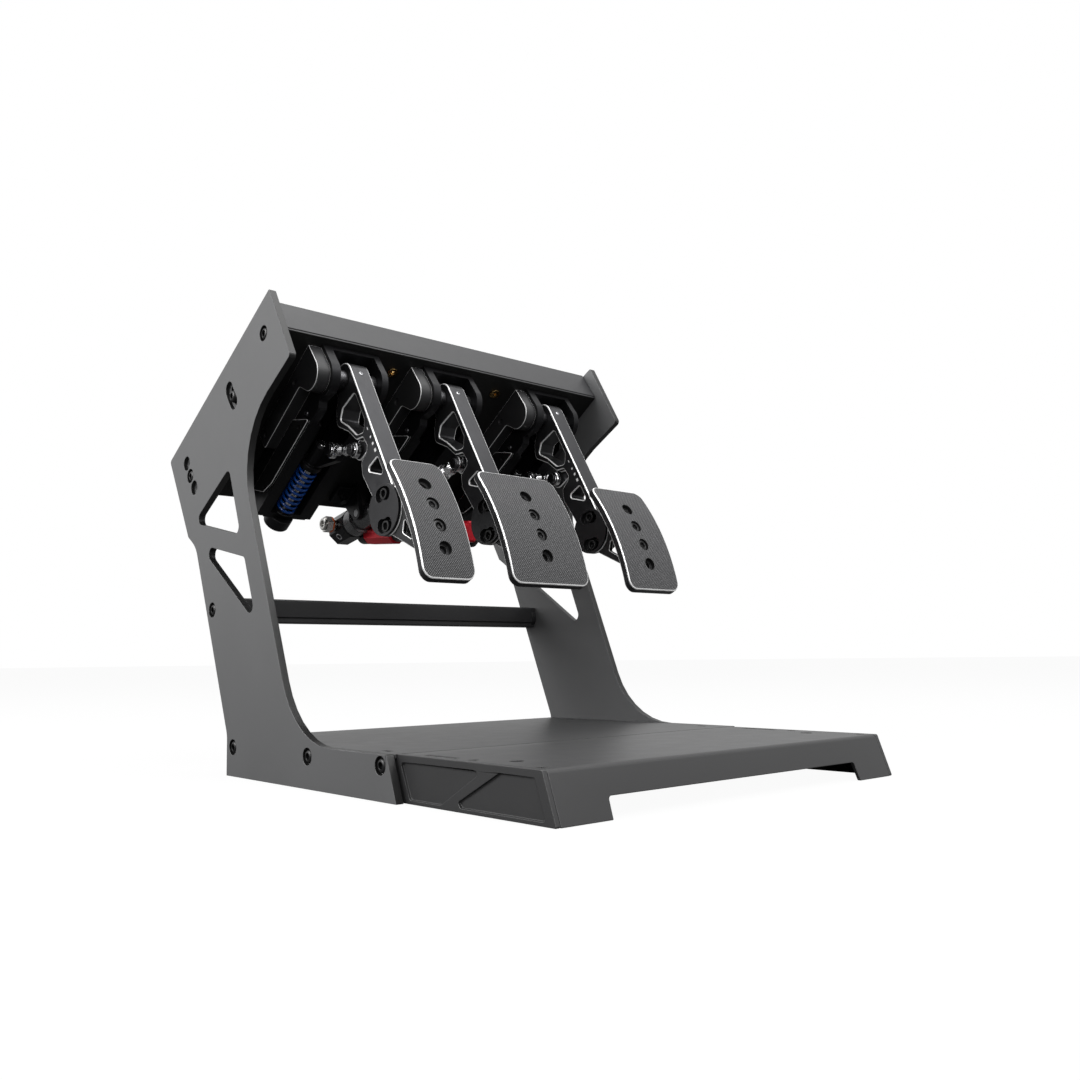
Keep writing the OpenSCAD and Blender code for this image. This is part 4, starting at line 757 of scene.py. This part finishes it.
# Brake: side fitting on the end block's left facet, with its collar, hexagon, cap and orange washer
fitting_place = thrust_place @ move(-BLOCK_HALF, BLOCK_MIDDLE, 0.002) @ FACING_LEFT
fitting = bmesh.new()
turned(fitting, [(0, 0.0001), (0.0058, 0.0001), (0.0062, 0.0005), (0.0062, 0.0036), (0, 0.0036)],
    32, fitting_place)
hexagon(fitting, 0.0082, 0.0064, 0.0062, fitting_place @ move(0, 0, 0.005))
turned(fitting, [(0, 0.0113), (0.0058, 0.0113), (0.006, 0.0116), (0.006, 0.0134), (0.0052, 0.014),
    (0.0036, 0.014), (0.0032, 0.0136), (0.0032, 0.0118), (0, 0.0118)], 28, fitting_place)
steel_faces = set(fitting.faces)
turned(fitting, [(0.0052, 0.0035), (0.0076, 0.0035), (0.0079, 0.0038), (0.0079, 0.0048), (0.0076, 0.0051),
    (0.0052, 0.0051), (0.0052, 0.0035)], 32, fitting_place)
for face in fitting.faces:
    face.material_index = 0 if face in steel_faces else 1
clean_normals(fitting)
stand_in("brake_side_fitting", fitting, [FITTING_STEEL, WASHER_ORANGE], "brake_banjo")

# Brake: bleed screw with a silver rim, in the block's lower left facet
bleed = bmesh.new()
bleed_place = thrust_place @ move(0, BLOCK_MIDDLE, 0) @ turn_y(-135) @ move(0, 0, BLOCK_HALF - 0.0001)
turned(bleed, [(0, -0.001), (0.0024, -0.001), (0.0024, 0.0004), (0.0031, 0.0006), (0.0035, 0.0003),
    (0.0035, -0.002), (0, -0.002)], 28, bleed_place)
clean_normals(bleed)
finish_piece("brake_bleed_screw", bleed, [ZINC], "brake_hydraulics")

# Screws under the deck and inside the floor keep their own solids
for node in ("seam_screws", "module_bolts"):
    nodes[node].data.materials.clear()
    nodes[node].data.materials.append(SCREW_BLACK)


# Floor, backdrop and light: to the camera the floor glows white by the share given and keeps the
# object's shadow in the rest, and to all else it is as dark as bounce
def lit_white(name, share, bounce):
    finish = bpy.data.materials.new(name)
    finish.use_nodes = True
    tree = finish.node_tree
    tree.nodes.remove(tree.nodes["Principled BSDF"])
    out = tree.nodes["Material Output"]
    path = tree.nodes.new("ShaderNodeLightPath")
    tone = tree.nodes.new("ShaderNodeMix")
    tone.data_type = "RGBA"
    tone.inputs["A"].default_value = (bounce, bounce, bounce, 1)
    tone.inputs["B"].default_value = (0.9, 0.9, 0.9, 1)
    tree.links.new(path.outputs["Is Camera Ray"], tone.inputs["Factor"])
    ground = tree.nodes.new("ShaderNodeBsdfDiffuse")
    tree.links.new(tone.outputs["Result"], ground.inputs["Color"])
    glow = tree.nodes.new("ShaderNodeEmission")
    glow.inputs["Strength"].default_value = 1.0
    seen = tree.nodes.new("ShaderNodeMath")
    seen.operation = "MULTIPLY"
    seen.inputs[1].default_value = share
    mix = tree.nodes.new("ShaderNodeMixShader")
    tree.links.new(path.outputs["Is Camera Ray"], seen.inputs[0])
    tree.links.new(seen.outputs["Value"], mix.inputs["Fac"])
    tree.links.new(ground.outputs["BSDF"], mix.inputs[1])
    tree.links.new(glow.outputs["Emission"], mix.inputs[2])
    tree.links.new(mix.outputs["Shader"], out.inputs["Surface"])
    return finish


floor_grid = bmesh.new()
bmesh.ops.create_grid(floor_grid, x_segments=1, y_segments=1, size=30, matrix=move(0, 0, -0.0004))
ground_mesh = bpy.data.meshes.new("studio_floor")
floor_grid.to_mesh(ground_mesh)
floor_grid.free()
ground_mesh.materials.append(lit_white("studio_floor_white", 0.95, 0.12))
studio_floor = bpy.data.objects.new("studio_floor", ground_mesh)
bpy.context.scene.collection.objects.link(studio_floor)

# The backdrop is white to the camera, a little darker in the pieces' reflections and dim as a light
world = bpy.data.worlds.new("studio")
bpy.context.scene.world = world
world.use_nodes = True
sky = world.node_tree
back = sky.nodes["Background"]
back.inputs["Color"].default_value = (1, 1, 1, 1)
path = sky.nodes.new("ShaderNodeLightPath")
level = sky.nodes.new("ShaderNodeMapRange")
level.inputs["To Min"].default_value = 0.22
level.inputs["To Max"].default_value = 1.0
seen_or_mirrored = sky.nodes.new("ShaderNodeMath")
seen_or_mirrored.operation = "MAXIMUM"
mirrored = sky.nodes.new("ShaderNodeMath")
mirrored.operation = "MULTIPLY"
mirrored.inputs[1].default_value = 0.62
sky.links.new(path.outputs["Is Glossy Ray"], mirrored.inputs[0])
sky.links.new(path.outputs["Is Camera Ray"], seen_or_mirrored.inputs[0])
sky.links.new(mirrored.outputs["Value"], seen_or_mirrored.inputs[1])
sky.links.new(seen_or_mirrored.outputs["Value"], level.inputs["Value"])
sky.links.new(level.outputs["Result"], back.inputs["Strength"])


def soft_light(name, place, target, width, height, power):
    lamp = bpy.data.lights.new(name, "AREA")
    lamp.shape = "RECTANGLE"
    lamp.size = width
    lamp.size_y = height
    lamp.energy = power
    holder = bpy.data.objects.new(name, lamp)
    holder.location = place
    holder.rotation_mode = "QUATERNION"
    holder.rotation_quaternion = (Vector(target) - Vector(place)).to_track_quat("-Z", "Y")
    bpy.context.scene.collection.objects.link(holder)


soft_light("left_soft_box", (-2.3, 0.9, 1.4), (-0.1, 0, 0.25), 1.8, 1.6, 62)
soft_light("top_soft_box", (0.2, -0.2, 2.4), (0, 0, 0.1), 2.2, 2.2, 30)
soft_light("front_soft_box", (0.3, -1.9, 2.2), (0, 0.1, 0.2), 2.0, 1.4, 52)
soft_light("low_left_lamp", (-1.5, -2.3, 0.7), (-0.1, 0.1, 0.28), 0.7, 0.9, 16)

# Camera, low and to the front left
CAMERA_PLACE = (-0.5588, -0.6747, 0.092)
yaw = math.radians(41.721)
pitch = math.radians(4.532)
roll = math.radians(0.634)
ahead = Vector((math.sin(yaw) * math.cos(pitch), math.cos(yaw) * math.cos(pitch), math.sin(pitch)))
level_right = Vector((math.cos(yaw), -math.sin(yaw), 0))
level_down = ahead.cross(level_right)
right = math.cos(roll) * level_right + math.sin(roll) * level_down
down = -math.sin(roll) * level_right + math.cos(roll) * level_down
camera_data = bpy.data.cameras.new("camera")
camera_data.sensor_width = 36
camera_data.lens = 34.4245
camera_data.shift_x = 0.002
camera_data.shift_y = 0.0343
camera_data.clip_start = 0.01
camera = bpy.data.objects.new("camera", camera_data)
turn = Matrix((right, -down, -ahead)).transposed().to_4x4()
camera.matrix_world = move(*CAMERA_PLACE) @ turn
bpy.context.scene.collection.objects.link(camera)
bpy.context.scene.camera = camera
bpy.context.scene.view_settings.view_transform = "Standard"
